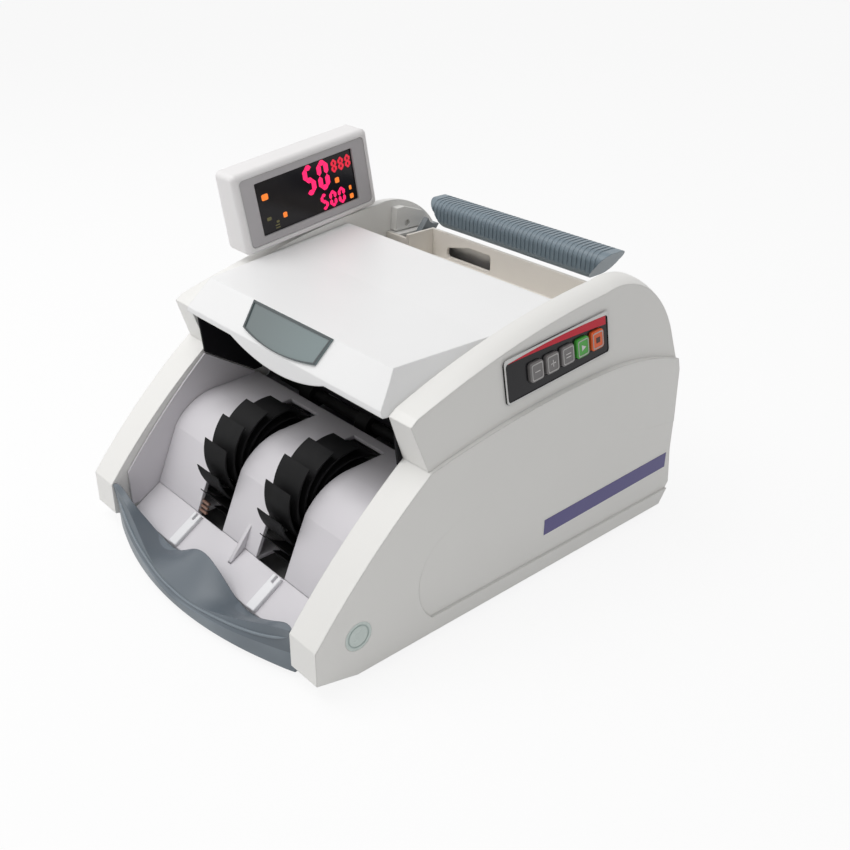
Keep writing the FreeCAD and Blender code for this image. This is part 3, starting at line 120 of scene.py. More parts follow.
class Graph:
    """The nodes of one material or world, all made by one method."""

    def __init__(self, owner):
        owner.use_nodes = True
        self.tree = owner.node_tree
        self.tree.nodes.clear()

    def node(self, kind, settings=None, inputs=None, output=0):
        """A node of any type: its settings are set first, then its values or links."""
        made = self.tree.nodes.new(kind)
        for key, value in (settings or {}).items():
            setattr(made, key, value)
        for key, value in (inputs or {}).items():
            self.feed(made.inputs[key], value)
        return Wire(self, made.outputs[output]) if made.outputs else None

    def feed(self, socket, value):
        if isinstance(value, Wire):
            self.tree.links.new(value.socket, socket)
        elif socket.type == "RGBA" and len(value) == 3:
            socket.default_value = (*value, 1.0)
        else:
            socket.default_value = value

    def seen_directly(self):
        """1 for what the camera sees itself, or in a mirror or through glass."""
        direct, mirrored, through = (
            self.node("ShaderNodeLightPath", output="Is %s Ray" % way)
            for way in ("Camera", "Glossy", "Transmission"))
        return direct.most(mirrored).most(through)


class Finish(Graph):
    """A material in the making: a Principled surface and the nodes that vary it."""

    def __init__(self, name, color, roughness, **fixed):
        self.material = bpy.data.materials.new(name)
        super().__init__(self.material)
        self.material.diffuse_color = (*color, 1.0)
        inputs = {"Base Color": color, "Roughness": roughness}
        inputs.update({key.replace("_", " "): value for key, value in fixed.items()})
        self.surface = self.node("ShaderNodeBsdfPrincipled", {}, inputs)
        self.show(self.surface)

    def show(self, shader):
        """Make a shader what the material gives out."""
        for made in [n for n in self.tree.nodes if n.type == "OUTPUT_MATERIAL"]:
            self.tree.nodes.remove(made)
        self.node("ShaderNodeOutputMaterial", {}, {"Surface": shader})

    def set(self, **inputs):
        for key, value in inputs.items():
            self.feed(self.surface.socket.node.inputs[key.replace("_", " ")], value)
        return self

    def mix(self, factor, first, second):
        return self.node("ShaderNodeMix", {"data_type": "RGBA", "clamp_factor": True},
                         {0: factor, 6: first, 7: second}, 2)

    def place(self):
        """The point on the machine, in metres."""
        return self.node("ShaderNodeTexCoord", output="Object")

    def along(self, axis):
        return self.node("ShaderNodeSeparateXYZ", {}, {0: self.place()}, axis)

    def noise(self, scale, detail=2.0, stretch=None):
        """Soft noise from 0 to 1. A stretch below 1 draws it out along that axis."""
        where = self.place()
        if stretch:
            where = self.node("ShaderNodeVectorMath", {"operation": "MULTIPLY"},
                              {0: where, 1: stretch})
        return self.node("ShaderNodeTexNoise", {"noise_dimensions": "3D"},
                         {"Vector": where, "Scale": scale, "Detail": detail})

    def relief(self, height, depth, radius=0.0):
        """Bump of a real depth in metres, over edges that look rounded by radius."""
        inputs = {"Height": height, "Distance": depth, "Strength": 1.0}
        if radius:
            inputs["Normal"] = self.node("ShaderNodeBevel", {"samples": 4}, {"Radius": radius})
        return self.set(Normal=self.node("ShaderNodeBump", {}, inputs))


def moulded(name, color, roughness=0.42, grain=0.00002, radius=0.0007, tint=0.03, rub_and_sheen=0.0,
            **fixed):
    """Moulded plastic: fine spark-eroded grain, faint clouds of tone, and rubbed patches painted
    lighter, which stand for both wear and a painted sheen.
    """
    made = Finish(name, color, roughness, **fixed)
    cloud = made.noise(CLOUD, 3.0)
    speck = made.noise(SPECK)
    body = made.mix(cloud.rise(0.3, 0.7), scaled(color, 1.0 - tint), scaled(color, 1.0 + tint))
    if rub_and_sheen:
        # Rubbed patches are painted lighter: partly wear, partly a painted sheen.
        wear_and_sheen = made.noise(RUB_AND_SHEEN, 4.0, (1.0, 0.25, 1.0)).rise(0.62, 0.78)
        body = made.mix(wear_and_sheen * rub_and_sheen, body, scaled(color, 1.35, 0.02))
    made.set(Base_Color=body, Roughness=roughness + (cloud - 0.5) * 0.12 + (speck - 0.5) * 0.08)
    return made.relief(made.noise(GRAIN), grain, radius).material


def rubber(name, color, pitting=3000.0):
    """Rubber with a pale bloom and a dull, finely pitted skin."""
    made = Finish(name, color, 0.62, Specular_IOR_Level=0.15)
    bloom = made.noise(BLOOM, 4.0)
    made.set(Base_Color=made.mix(bloom.rise(0.35, 0.8), color, scaled(color, 1.6, 0.004)),
             Roughness=0.55 + bloom * 0.2)
    return made.relief(made.noise(pitting, 3.0), 0.00003, 0.0003).material


def brushed(name, color, stretch, roughness=0.34):
    """Metal with drawn streaks and faint stains."""
    made = Finish(name, color, roughness, Metallic=1.0)
    streak = made.noise(STREAK, 3.0, stretch)
    stain = made.noise(STAIN, 3.0)
    made.set(Base_Color=made.mix(stain, scaled(color, 0.86), color),
             Roughness=roughness - 0.08 + streak * 0.2)
    return made.relief(streak, 0.000012, 0.0003).material


def glossy(name, color, roughness=0.12, radius=0.0004, **fixed):
    """Smooth plastic or film with faint smears and a little dust."""
    made = Finish(name, color, roughness, **fixed)
    smear = made.noise(SMEAR, 4.0, (1.0, 0.6, 1.0))
    dust = made.noise(DUST, 1.0).rise(0.68, 0.78)
    made.set(Base_Color=made.mix(dust * 0.25, color, scaled(color, 1.3, 0.01)),
             Roughness=roughness + smear * 0.1)
    return made.relief(made.noise(RIPPLE, 1.0), 0.00002, radius).material


def circuit(name, color):
    """Circuit board with copper lanes and solder pads."""
    made = Finish(name, color, 0.3)
    lane = made.noise(LANE, 0.0, (1.0, 6.0, 1.0)).rise(0.5, 0.53)
    pad = made.node("ShaderNodeTexVoronoi", {"feature": "DISTANCE_TO_EDGE"},
                    {"Vector": made.place(), "Scale": PAD}).rise(0.32, 0.36)
    tracks = made.mix(lane * 0.5, color, scaled(color, 1.9, 0.01))
    made.set(Base_Color=made.mix(pad, tracks, tone(196, 190, 170)), Roughness=0.25 + lane * 0.15)
    return made.relief(lane, 0.00004).material


def lit(name, color, strength=1.0):
    """A lamp behind the window, a little uneven across its face."""
    made = Finish(name, scaled(color, 0.3), 0.3, Emission_Strength=strength)
    uneven = made.noise(FLICKER, 1.0)
    made.set(Emission_Color=made.mix(uneven.rise(0.2, 0.8), scaled(color, 0.8), color))
    return made.material


def paint(material, *nodes):
    """Give a finish to carried-over CAD nodes."""
    for name in nodes:
        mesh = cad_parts[name].data
        mesh.materials.clear()
        mesh.materials.append(material)


# ---- shapes -------------------------------------------------------------------------------------

def new_piece(name, mesh, material, body):
    """An object from a mesh, which rides on a body and takes its finish from a slot."""
    piece = bpy.data.objects.new(name, mesh)
    bpy.context.scene.collection.objects.link(piece)
    mesh.materials.append(material)
    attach(piece, body)
    return piece


def key_line():
    """Direction in which the keys follow one another."""
    first, last = ((Vector(low) + Vector(high)) / 2
                   for low, high in map(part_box, ("key_1", "key_5")))
    return last - first


def face_frame(node, toward, along):
    """The outermost flat face of a node that looks one way: its axes, width and height.

    The axes turn from along to the nearest way in which the face fits the smallest rectangle.
    """
    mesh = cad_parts[node].data
    toward = Vector(toward).normalized()
    areas = {}
    for face in mesh.polygons:
        if face.normal.dot(toward) > FACES_WAY:
            key = tuple(round(c, 2) for c in face.normal)
            areas[key] = areas.get(key, 0.0) + face.area
    normal = Vector(max(areas, key=areas.get)).normalized()
    faces = [f for f in mesh.polygons if f.normal.dot(normal) > SAME_WAY]
    normal = sum((f.normal * f.area for f in faces), Vector()).normalized()
    level = max(f.center.dot(normal) for f in faces)
    points = [mesh.vertices[i].co for f in faces if f.center.dot(normal) > level - SAME_LEVEL
              for i in f.vertices]
    start = (Vector(along) - normal * normal.dot(Vector(along))).normalized()
    fits = []
    for quarter in range(-60, 61):      # quarter degrees
        u = Matrix.Rotation(math.radians(quarter / 4), 3, normal) @ start
        v = normal.cross(u)
        us, vs = [p.dot(u) for p in points], [p.dot(v) for p in points]
        fits.append(((max(us) - min(us)) * (max(vs) - min(vs)), abs(quarter), u, v, us, vs))
    u, v, us, vs = min(fits, key=lambda fit: fit[:2])[2:]
    centre = u * (min(us) + max(us)) / 2 + v * (min(vs) + max(vs)) / 2 + normal * level
    matrix = Matrix((u, v, normal)).transposed().to_4x4()
    matrix.translation = centre
    return matrix, max(us) - min(us), max(vs) - min(vs)


def finished(made, name):
    """A mesh from a bmesh whose faces are turned outwards."""
    bmesh.ops.recalc_face_normals(made, faces=made.faces)
    mesh = bpy.data.meshes.new(name)
    made.to_mesh(mesh)
    made.free()
    return mesh


def plates(outlines, matrix, lift, thickness):
    """Thin plates from flat outlines, set on a face's own axes and raised off it."""
    made = bmesh.new()
    for outline in outlines:
        low = [made.verts.new(matrix @ Vector((x, y, lift))) for x, y in outline]
        high = [made.verts.new(matrix @ Vector((x, y, lift + thickness))) for x, y in outline]
        flat = [Vector((x, y, 0)) for x, y in outline]
        for a, b, c in tessellate_polygon([flat]):
            made.faces.new((high[a], high[b], high[c]))
            made.faces.new((low[c], low[b], low[a]))
        for i in range(len(outline)):
            j = (i + 1) % len(outline)
            made.faces.new((low[i], low[j], high[j], high[i]))
    return finished(made, "plates")


def rounded(x0, y0, x1, y1, radius, steps=5):
    """Outline of a rectangle with round corners, anticlockwise."""
    points = []
    for cx, cy, start in ((x1 - radius, y0 + radius, -90), (x1 - radius, y1 - radius, 0),
                          (x0 + radius, y1 - radius, 90), (x0 + radius, y0 + radius, 180)):
        for k in range(steps + 1):
            turn = math.radians(start + 90.0 * k / steps)
            points.append((cx + radius * math.cos(turn), cy + radius * math.sin(turn)))
    return points


def disc(radius, steps=40):
    """Outline of a circle, anticlockwise."""
    turns = [2 * math.pi * k / steps for k in range(steps)]
    return [(radius * math.cos(t), radius * math.sin(t)) for t in turns]


def ring(outer, inner, matrix, lift, thickness):
    """A thin raised frame between two outlines with as many points each."""
    made = bmesh.new()
    rows = []
    for outline, height in ((outer, lift), (outer, lift + thickness),
                            (inner, lift + thickness), (inner, lift)):
        rows.append([made.verts.new(matrix @ Vector((x, y, height))) for x, y in outline])
    count = len(outer)
    for a, b in FOUR_SIDES:
        for i in range(count):
            j = (i + 1) % count
            made.faces.new((rows[a][i], rows[a][j], rows[b][j], rows[b][i]))
    return finished(made, "ring")


def bead(points, radius, steps=8):
    """A closed round bead along points, drawn thin at both ends."""
    made = bmesh.new()
    rows = []
    last = len(points) - 1
    thinnest, growth = 0.15, 0.3
    for k, point in enumerate(points):
        run = (points[min(k + 1, last)] - points[max(k - 1, 0)]).normalized()
        side = run.cross(Vector((0, 0, 1))).normalized()
        over = side.cross(run)
        size = radius * min(1.0, thinnest + growth * min(k, last - k))
        rows.append([made.verts.new(point + (side * x + over * y) * size)
                     for x, y in disc(1.0, steps)])
    for a, b in zip(rows, rows[1:]):
        for j in range(steps):
            made.faces.new((a[j], a[(j + 1) % steps], b[(j + 1) % steps], b[j]))
    made.faces.new(rows[0])
    made.faces.new(rows[-1])
    return finished(made, "bead")


def veneer(node, toward, along, lift, thickness):
    """A thin skin over the outermost flat face of a node, whatever its outline."""
    face = face_frame(node, toward, along)[0]
    normal, level = face.col[2].xyz, face.translation.dot(face.col[2].xyz)
    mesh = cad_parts[node].data
    made = bmesh.new()
    low, high, edges = {}, {}, {}
    for polygon in mesh.polygons:
        apart = abs(polygon.center.dot(normal) - level)
        if polygon.normal.dot(normal) < SAME_WAY or apart > SAME_LEVEL:
            continue
        corners = list(polygon.vertices)
        for i in corners:
            if i not in low:
                low[i] = made.verts.new(mesh.vertices[i].co + normal * lift)
                high[i] = made.verts.new(mesh.vertices[i].co + normal * (lift + thickness))
        made.faces.new([high[i] for i in corners])
        made.faces.new([low[i] for i in reversed(corners)])
        for a, b in zip(corners, corners[1:] + corners[:1]):
            edges.setdefault(frozenset((a, b)), []).append((a, b))
    for uses in edges.values():
        if len(uses) == 1:
            a, b = uses[0]
            made.faces.new((low[a], low[b], high[b], high[a]))
    return finished(made, "veneer")


def joined(meshes):
    """One mesh from several, which are deleted."""
    made = bmesh.new()
    for mesh in meshes:
        made.from_mesh(mesh)
        bpy.data.meshes.remove(mesh)
    mesh = bpy.data.meshes.new("joined")
    made.to_mesh(mesh)
    made.free()
    return mesh


SEGMENTS = {"0": "abcdef", "1": "bc", "2": "abged", "3": "abgcd", "4": "fgbc",
            "5": "afgcd", "6": "afgedc", "7": "abc", "8": "abcdefg", "9": "abcdfg"}
SEGMENT_GAP = 0.04      # gap between segments, as a share of a segment's width


def digit(figure, x, y, width, height, bar, slant):
    """Outlines of one seven-segment figure, its lower left corner at x, y."""
    gap, half = bar * SEGMENT_GAP, bar / 2
    left, right, bottom, centre, top = half, width - half, half, height / 2, height - half

    def across(level):
        a, b = left + gap, right - gap
        return [(a, level), (a + half, level - half), (b - half, level - half),
                (b, level), (b - half, level + half), (a + half, level + half)]

    def upright(side, low, high):
        a, b = low + gap, high - gap
        return [(side, a), (side + half, a + half), (side + half, b - half),
                (side, b), (side - half, b - half), (side - half, a + half)]

    shapes = {"a": across(top), "g": across(centre), "d": across(bottom),
              "f": upright(left, centre, top), "b": upright(right, centre, top),
              "e": upright(left, bottom, centre), "c": upright(right, bottom, centre)}
    return [[(x + px + py * slant, y + py) for px, py in shapes[s]] for s in SEGMENTS[figure]]


def laid_on(node, points, direction, lift):
    """Points dropped onto a node's surface along a direction, and lifted off it."""
    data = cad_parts[node].data
    tree = BVHTree.FromPolygons([v.co for v in data.vertices], [p.vertices for p in data.polygons])
    ray = Vector(direction).normalized()
    run_up = 0.05
    landed = []
    for point in points:
        spot = tree.ray_cast(Vector(point) - ray * run_up, ray)[0]
        if spot is None:
            raise RuntimeError("no surface of %s under %s" % (node, tuple(point)))
        landed.append(spot - ray * lift)
    return landed


def bowed(width, height, inset, radius, bow):
    """Outline of a panel whose top edge rises in the middle, anticlockwise."""
    w, h = width / 2 - inset, height / 2 - inset
    corners = rounded(-w, -h, w, h - bow, radius)
    half = len(corners) // 2
    first, last = corners[half - 1][0], corners[half][0]
    top = [(first + (last - first) * k / BOW_STEPS, h - bow) for k in range(1, BOW_STEPS)]
    return [(x, y + bow * (1.0 - (x / w) ** 2) if y > 0 else y)
            for x, y in corners[:half] + top + corners[half:]]


def top_edge(outline):
    """The points along the top of a bowed outline, from one corner to the other."""
    half = (len(outline) - BOW_STEPS + 1) // 2
    return outline[half - 1:half + BOW_STEPS]


# ---- what a user would change -------------------------------------------------------------------

def length(name, description, default):
    return FloatProperty(name=name, description=description, default=default, min=0.0,
                         unit="LENGTH", subtype="DISTANCE", precision=5)


def colour(name, description, default):
    return FloatVectorProperty(name=name, description=description, default=default, size=3,
                               min=0.0, max=1.0, subtype="COLOR")


class TrimSizes(bpy.types.PropertyGroup):
    lift: length("Lift", "How far printed trim stands off its face", 0.00006)
    print_thickness: length("Print thickness", "Thickness of printed trim", 0.0001)
    panel_rim: length("Panel rim", "Width of the pale rim round the key panel", 0.0012)
    panel_bow: length("Panel bow", "How much the panel's top edge rises in the middle", 0.0016)
    key_rim: length("Key rim", "Width of the pale rim on a key", 0.0009)
    tray_lip: length("Tray lip", "Radius of the bead along the tray's lip", 0.0009)
    stripe_front: length("Stripe at the front", "Height of the red stripe at its front end", 0.0008)
    stripe_rear: length("Stripe at the rear", "Height of the red stripe at its rear end", 0.0066)
    big_digit: length("Big figures", "Height of the two large figures", 0.0208)
    low_digit: length("Lower figures", "Height of the three lower figures", 0.0115)
    top_digit: length("Upper figures", "Height of the three upper figures", 0.0092)
    strip_width: length("Side strip", "Height of the plain strip on the side", 0.0115)


class CaseColours(bpy.types.PropertyGroup):
    case: colour("Covers", "White of the side and back covers", tone(233, 232, 229))
    hood: colour("Hood", "White of the hood", tone(236, 236, 236))
    pocket: colour("Pocket", "Pale grey of the note pocket", tone(214, 211, 215))
    chute: colour("Chute", "Cream of the hopper", tone(233, 228, 220))
    tray: colour("Tray", "Blue-grey of the tray's apron", tone(118, 128, 136))
    # Painted shade: the tray's concave upper band is painted in this darker colour.
    tray_band_shade: colour("Tray band", "Darker blue-grey of the tray's upper band", tone(92, 101, 109))
    grip: colour("Grip", "Blue-grey of the handle grip", tone(112, 127, 137))
    badge: colour("Badge", "Grey-green of the bare badge", tone(100, 114, 115))
    stripe: colour("Stripe", "Red of the panel stripe", tone(208, 22, 50))
    strip: colour("Strip", "Violet-blue of the plain side strip", tone(74, 67, 130))
    figures: colour("Figures", "Lit colour of the figures", tone(255, 28, 104))
    lamps: colour("Lamps", "Lit colour of the small lamps", tone(246, 128, 40))


class StudioSettings(bpy.types.PropertyGroup):
    azimuth: FloatProperty(name="Azimuth", description="Camera's bearing round the machine",
                           default=math.radians(48.063), subtype="ANGLE")
    elevation: FloatProperty(name="Elevation", description="Camera's height over the horizon",
                             default=math.radians(28.132), subtype="ANGLE")
    roll: FloatProperty(name="Roll", description="Camera's lean", default=0.0096, subtype="ANGLE")
    target: FloatVectorProperty(name="Target", description="Point the camera looks at", size=3,
                                default=(0.0124, 0.0321, 0.0628), subtype="TRANSLATION",
                                unit="LENGTH")
    distance: length("Distance", "From the camera to its target", 0.723)
    lens: FloatProperty(name="Lens", description="Focal length in millimetres on a 36 mm sensor",
                        default=45.07, min=10.0)
    sky: FloatProperty(name="Sky", description="Strength of the even light all round",
                       default=0.45, min=0.0)
    key: FloatProperty(name="Softbox", description="Power of the overhead softbox in watts",
                       default=12.0, min=0.0)
    floor_white: IntProperty(name="Floor white", description="Per cent of plain white in the floor",
                             default=88, min=0, max=100, subtype="PERCENTAGE")


def trim():
    """The sizes of the printed and added trim."""
    return bpy.context.scene.counter_trim


def shade(name):
    """One of the case colours, as a shader takes it."""
    return tuple(getattr(bpy.context.scene.counter_shades, name))


# ---- operators ----------------------------------------------------------------------------------

class COUNTER_OT_case(bpy.types.Operator):
    """Satin white finish of the covers, hood and back, grey base and rubber feet"""
    bl_idname = "counter.case"
    bl_label = "Covers"

    def execute(self, context):
        white = moulded("Cover white", shade("case"), 0.4, 0.000012, 0.0012, 0.008)
        paint(white, "left_cover", "right_cover", "rear_cover")
        paint(moulded("Hood white", shade("hood"), 0.38, 0.00001, 0.0012, 0.008), "hood")
        grey = moulded("Base grey", tone(150, 150, 150), 0.5, 0.00003, 0.0006)
        paint(grey, "base_pan", "pod_hinge")
        paint(rubber("Foot rubber", tone(38, 38, 38)), "rubber_feet")
        return {"FINISHED"}


class COUNTER_OT_side_disc(bpy.types.Operator):
    """Pale green disc on the side, with a fine raised ring"""
    bl_idname = "counter.side_disc"
    bl_label = "Side disc"

    def execute(self, context):
        paint(glossy("Disc green", tone(206, 217, 213), 0.22, 0.0003), "side_disc")
        face, width, _ = face_frame("side_disc", (1, 0, 0), (0, 1, 0))
        outer, inner = disc(width * 0.40), disc(width * 0.36)
        circle = ring(outer, inner, face, trim().lift, trim().print_thickness)
        green = moulded("Ring green", tone(176, 192, 188))
        new_piece("disc_ring", circle, green, "case")
        return {"FINISHED"}


class COUNTER_OT_pocket(bpy.types.Operator):
    """Pale finish of the note pocket, its dull black guide and the comb in the first slot"""
    bl_idname = "counter.pocket"
    bl_label = "Note pocket"

    def execute(self, context):
        grey = moulded("Pocket grey", shade("pocket"), 0.4, 0.000015, 0.0009, 0.02)
        paint(grey, "stacker_plate", "stacker_floor", "pocket_liners")
        paint(moulded("Bar white", tone(234, 234, 236), 0.34), "stacker_bars")
        paint(moulded("Guide black", tone(22, 21, 24), 0.7, 0.00003, 0.0006, 0.05,
                      Specular_IOR_Level=0.15), "upper_guide")
        self.comb()
        return {"FINISHED"}

    def comb(self):
        """Three short brown bars, one over another, in the first slot."""
        slot_x, slot_foot, slot_run = -0.0448, Vector((0, -0.112, 0.024)), 17.0 / 38.0
        behind = 0.0016
        lean = Matrix.Rotation(math.radians(66), 4, "X")
        reach, half = 0.0038, 0.0008
        outline = rounded(-reach, -half, reach, half, 0.0006)
        bars = []
        for z in (0.0252, 0.0280, 0.0308):
            front = slot_foot.y + (z - slot_foot.z) * slot_run
            flat = Matrix.Translation((slot_x, front + behind, z)) @ lean
            bars.append(plates([outline], flat, -half, 2 * half))
        brown = moulded("Comb brown", tone(138, 106, 92), 0.5, 0.00003, 0.0003, 0.12)
        new_piece("slot_comb", joined(bars), brown, "case")


class COUNTER_OT_hopper(bpy.types.Operator):
    """Cream finish of the hopper"""
    bl_idname = "counter.hopper"
    bl_label = "Hopper"

    def execute(self, context):
        paint(moulded("Chute cream", shade("chute"), 0.4, 0.000015, 0.0009, 0.015), "hopper_chute")
        return {"FINISHED"}


class COUNTER_OT_impellers(bpy.types.Operator):
    """Soft black finish of the finned wheels"""
    bl_idname = "counter.impellers"
    bl_label = "Impellers"

    def execute(self, context):
        paint(rubber("Fin rubber", tone(15, 15, 16), 1800.0), "impellers")
        return {"FINISHED"}


class COUNTER_OT_tray(bpy.types.Operator):
    """Blue-grey finish of the front tray: the upper band is painted darker than the paler apron, as
    painted shade of its concave curve
    """
    bl_idname = "counter.tray"
    bl_label = "Front tray"

    def execute(self, context):
        made = Finish("Tray blue-grey", shade("tray"), 0.4)
        # Painted shade: above a line that rises towards both ends, the tray's concave upper band is
        # painted darker than its apron.
        border_foot, border_rise, soft = 0.009, 0.083, 0.0002
        border = border_foot + abs(made.along("X")) * border_rise
        shaded_band = (made.along("Z") - border).rise(-soft, soft)
        cloud = made.noise(20.0, 3.0)
        body = made.mix(shaded_band, shade("tray"), shade("tray_band_shade"))
        made.set(Base_Color=made.mix(cloud.rise(0.3, 0.8), body, scaled(shade("tray_band_shade"), 1.04)),
                 Roughness=0.34 + cloud * 0.14)
        paint(made.relief(made.noise(GRAIN), 0.00002, 0.0006).material, "front_tray")
        lip = bead(laid_on("front_tray", self.lip_line(), (0, 1, 0), 0.0), trim().tray_lip)
        new_piece("tray_lip", lip, moulded("Lip blue-grey", shade("tray"), 0.32),
                  "case")
        return {"FINISHED"}

    def lip_line(self):
        """The lip's run from side to side, in front of the tray: low in the middle, then level,
        and up again at both ends."""
        reach, steps, before = 0.098, 72, -0.19
        lowest, dip_rise, dip_width, levelling, end_rise = 0.0107, 0.0038, 0.035, 0.35, 0.009
        line = []
        for k in range(steps + 1):
            x = reach * (2.0 * k / steps - 1.0)
            away = (x / dip_width) ** 2
            dip = dip_rise * away / (1.0 + levelling * away)
            line.append((x, before, lowest + dip + end_rise * (abs(x) / reach) ** 6))
        return line


class COUNTER_OT_badge(bpy.types.Operator):
    """Bare grey-green badge, brushed along its length, with a darker edge; painted light makes it
    darker at its left end and lighter at its right
    """
    bl_idname = "counter.badge"
    bl_label = "Badge"

    def execute(self, context):
        plate = Finish("Badge plate", shade("badge"), 0.3, Coat_Weight=0.4)
        streak = plate.noise(900.0, 2.0, (0.05, 1.0, 1.0))
        # Painted light: the plate is painted darker towards its left end and lighter towards its
        # right.
        half_width = 0.045
        painted_light_sweep = plate.along("X").rise(-half_width, half_width)
        base = plate.mix(painted_light_sweep, scaled(shade("badge"), 0.72), scaled(shade("badge"), 1.22))
        plate.set(Base_Color=base, Roughness=0.26 + streak * 0.14)
        paint(plate.relief(streak, 0.000008, 0.0004).material, "name_badge")
        edge = veneer("name_badge", (0, -1, 0.5), (1, 0, 0), trim().lift, trim().print_thickness)
        new_piece("badge_edge", edge, glossy("Badge edge", tone(62, 70, 72), 0.3),
                  "case")
        return {"FINISHED"}


class COUNTER_OT_handle(bpy.types.Operator):
    """Blue-grey finish of the ribbed grip, with wear and a painted sheen in lighter rubbed patches,
    and of its arms
    """
    bl_idname = "counter.handle"
    bl_label = "Carry handle"

    def execute(self, context):
        # The grip's lighter rubbed patches are partly wear and partly painted sheen.
        worn_with_sheen = moulded("Grip blue-grey", shade("grip"), 0.36, 0.00002, 0.0005, 0.04, 0.35)
        paint(worn_with_sheen, "handle_grip")
        grey = moulded("Arm grey", tone(120, 126, 130), 0.4, 0.00002, 0.0005, 0.03)
        paint(grey, "handle_arms")
        return {"FINISHED"}


class COUNTER_OT_panel(bpy.types.Operator):
    """Glossy black key panel with its pale rim and its red stripe under a bowed top edge"""
    bl_idname = "counter.panel"
    bl_label = "Key panel"

    def execute(self, context):
        black = glossy("Panel black", tone(20, 19, 23), 0.16, Specular_IOR_Level=0.3)
        paint(black, "control_panel")
        face, width, height = face_frame("control_panel", (1, 0, 0), key_line())
        size = trim()
        inner = bowed(width, height, size.panel_rim, 0.0018, size.panel_bow)
        outer = bowed(width, height, 0.0, 0.0026, 0.0)
        rim = ring(outer, inner, face, size.lift, size.print_thickness)
        new_piece("panel_rim", rim, moulded("Rim white", tone(226, 226, 224), 0.3),
                  "case")
        upper = top_edge(inner)
        corner = height / 2 - size.panel_rim - size.panel_bow
        bow = size.panel_bow * 0.6
        lower = []
        for x, _ in reversed(upper):
            slope = (size.stripe_rear - size.stripe_front) * (x / width + 0.5)
            lower.append((x, corner - slope + bow * (1.0 - (2 * x / width) ** 2)))
        red = glossy("Stripe red", shade("stripe"), 0.2, Specular_IOR_Level=0.3)
        stripe = plates([upper + lower], face, size.lift * 0.6, size.print_thickness * 0.8)
        new_piece("panel_stripe", stripe, red, "case")
        return {"FINISHED"}


class COUNTER_OT_keys(bpy.types.Operator):
    """Coloured keys, each with a pale rim and a plain mark"""
    bl_idname = "counter.keys"
    bl_label = "Keys"

    def execute(self, context):
        grey, green, orange = (
            moulded("Key " + name, color, 0.34, 0.00002, 0.0009)
            for name, color in (("grey", tone(118, 115, 115)), ("green", tone(72, 168, 62)),
                                ("orange", tone(232, 98, 42))))
        pale = moulded("Mark white", tone(226, 224, 222), 0.4)
        dark = moulded("Mark dark", tone(60, 28, 18), 0.4)
        edge = moulded("Key edge", tone(196, 194, 192), 0.34)
        half, reach, apart = 0.0003, 0.0021, 0.001
        minus = [(-reach, -half), (reach, -half), (reach, half), (-reach, half)]
        upright = [(y, x) for x, y in minus[::-1]]
        low, high = ([(x, y + shift) for x, y in minus] for shift in (-apart, apart))
        go = [(-0.0015, -0.002), (0.0022, 0.0), (-0.0015, 0.002)]
        halt = rounded(-0.0017, -0.0017, 0.0017, 0.0017, 0.0002)
        keys = {"key_1": (grey, "key_grey", pale, [minus]),
                "key_2": (grey, "key_grey", pale, [minus, upright]),
                "key_3": (grey, "key_grey", pale, [low, high]),
                "key_4": (green, "key_green", pale, [go]),
                "key_5": (orange, "key_orange", dark, [halt])}
        size = trim()
        for name, (body, slot, ink, sign) in keys.items():
            paint(body, name)
            face, width, height = face_frame(name, (1, 0, 0), key_line())
            outer = bowed(width, height, 0.0002, 0.0014, 0.0)
            inner = bowed(width, height, size.key_rim, 0.0009, 0.0)
            rim = ring(outer, inner, face, size.lift, size.print_thickness)
            new_piece(name + "_rim", rim, edge, name)
            mark = plates(sign, face, size.lift, size.print_thickness)
            new_piece(name + "_mark", mark, ink, name)
        return {"FINISHED"}


class COUNTER_OT_side_strip(bpy.types.Operator):
    """Plain violet-blue strip low on the right side, following its curve"""
    bl_idname = "counter.side_strip"
    bl_label = "Side strip"

    def execute(self, context):
        start, end = Vector((0.125, 0.0325, 0.0295)), Vector((0.125, 0.1545, 0.0328))
        run = (end - start).normalized()
        up = Vector((0, -run.z, run.y)) * trim().strip_width
        steps = 40
        lower = [start + (end - start) * k / steps for k in range(steps + 1)]
        upper = [point + up for point in lower]
        inside, outside = trim().lift, trim().lift + trim().print_thickness
        made = bmesh.new()
        rows = []
        for points, height in ((lower, inside), (upper, inside),
                               (upper, outside), (lower, outside)):
            landed = laid_on("right_cover", points, (-1, 0, 0), height)
            rows.append([made.verts.new(point) for point in landed])
        for a, b in FOUR_SIDES:
            for k in range(steps):
                made.faces.new((rows[a][k], rows[a][k + 1], rows[b][k + 1], rows[b][k]))
        for k in (0, steps):
            made.faces.new([row[k] for row in rows])
        violet = glossy("Strip violet", shade("strip"), 0.3)
        new_piece("side_strip", finished(made, "strip"), violet, "case")
        return {"FINISHED"}


# Places on the display's window are shares of its width from the front and of its height from the
# top. A row of figures has its text, both ends, foot, height and width of a stroke. A spot has its
# place, half width and half height.
COUNT_ROWS = (("50", 0.478, 0.768, 0.60, "big_digit", 0.0037),
              ("500", 0.612, 0.890, 0.975, "low_digit", 0.0024))
BATCH_ROWS = (("888", 0.775, 0.993, 0.35, "top_digit", 0.0019),)
LAMPS = ((0.087, 0.309, 0.0026, 0.0021), (0.245, 0.76, 0.0016, 0.0018),
         (0.814, 0.506, 0.0018, 0.0019), (0.938, 0.905, 0.0016, 0.0017),
         (0.936, 0.738, 0.0010, 0.0015))
DIM_MARKS = ((0.087, 0.726, 0.0018, 0.0012), (0.164, 0.83, 0.0012, 0.0008),
             (0.155, 0.89, 0.0018, 0.0004), (0.155, 0.94, 0.0018, 0.0004))


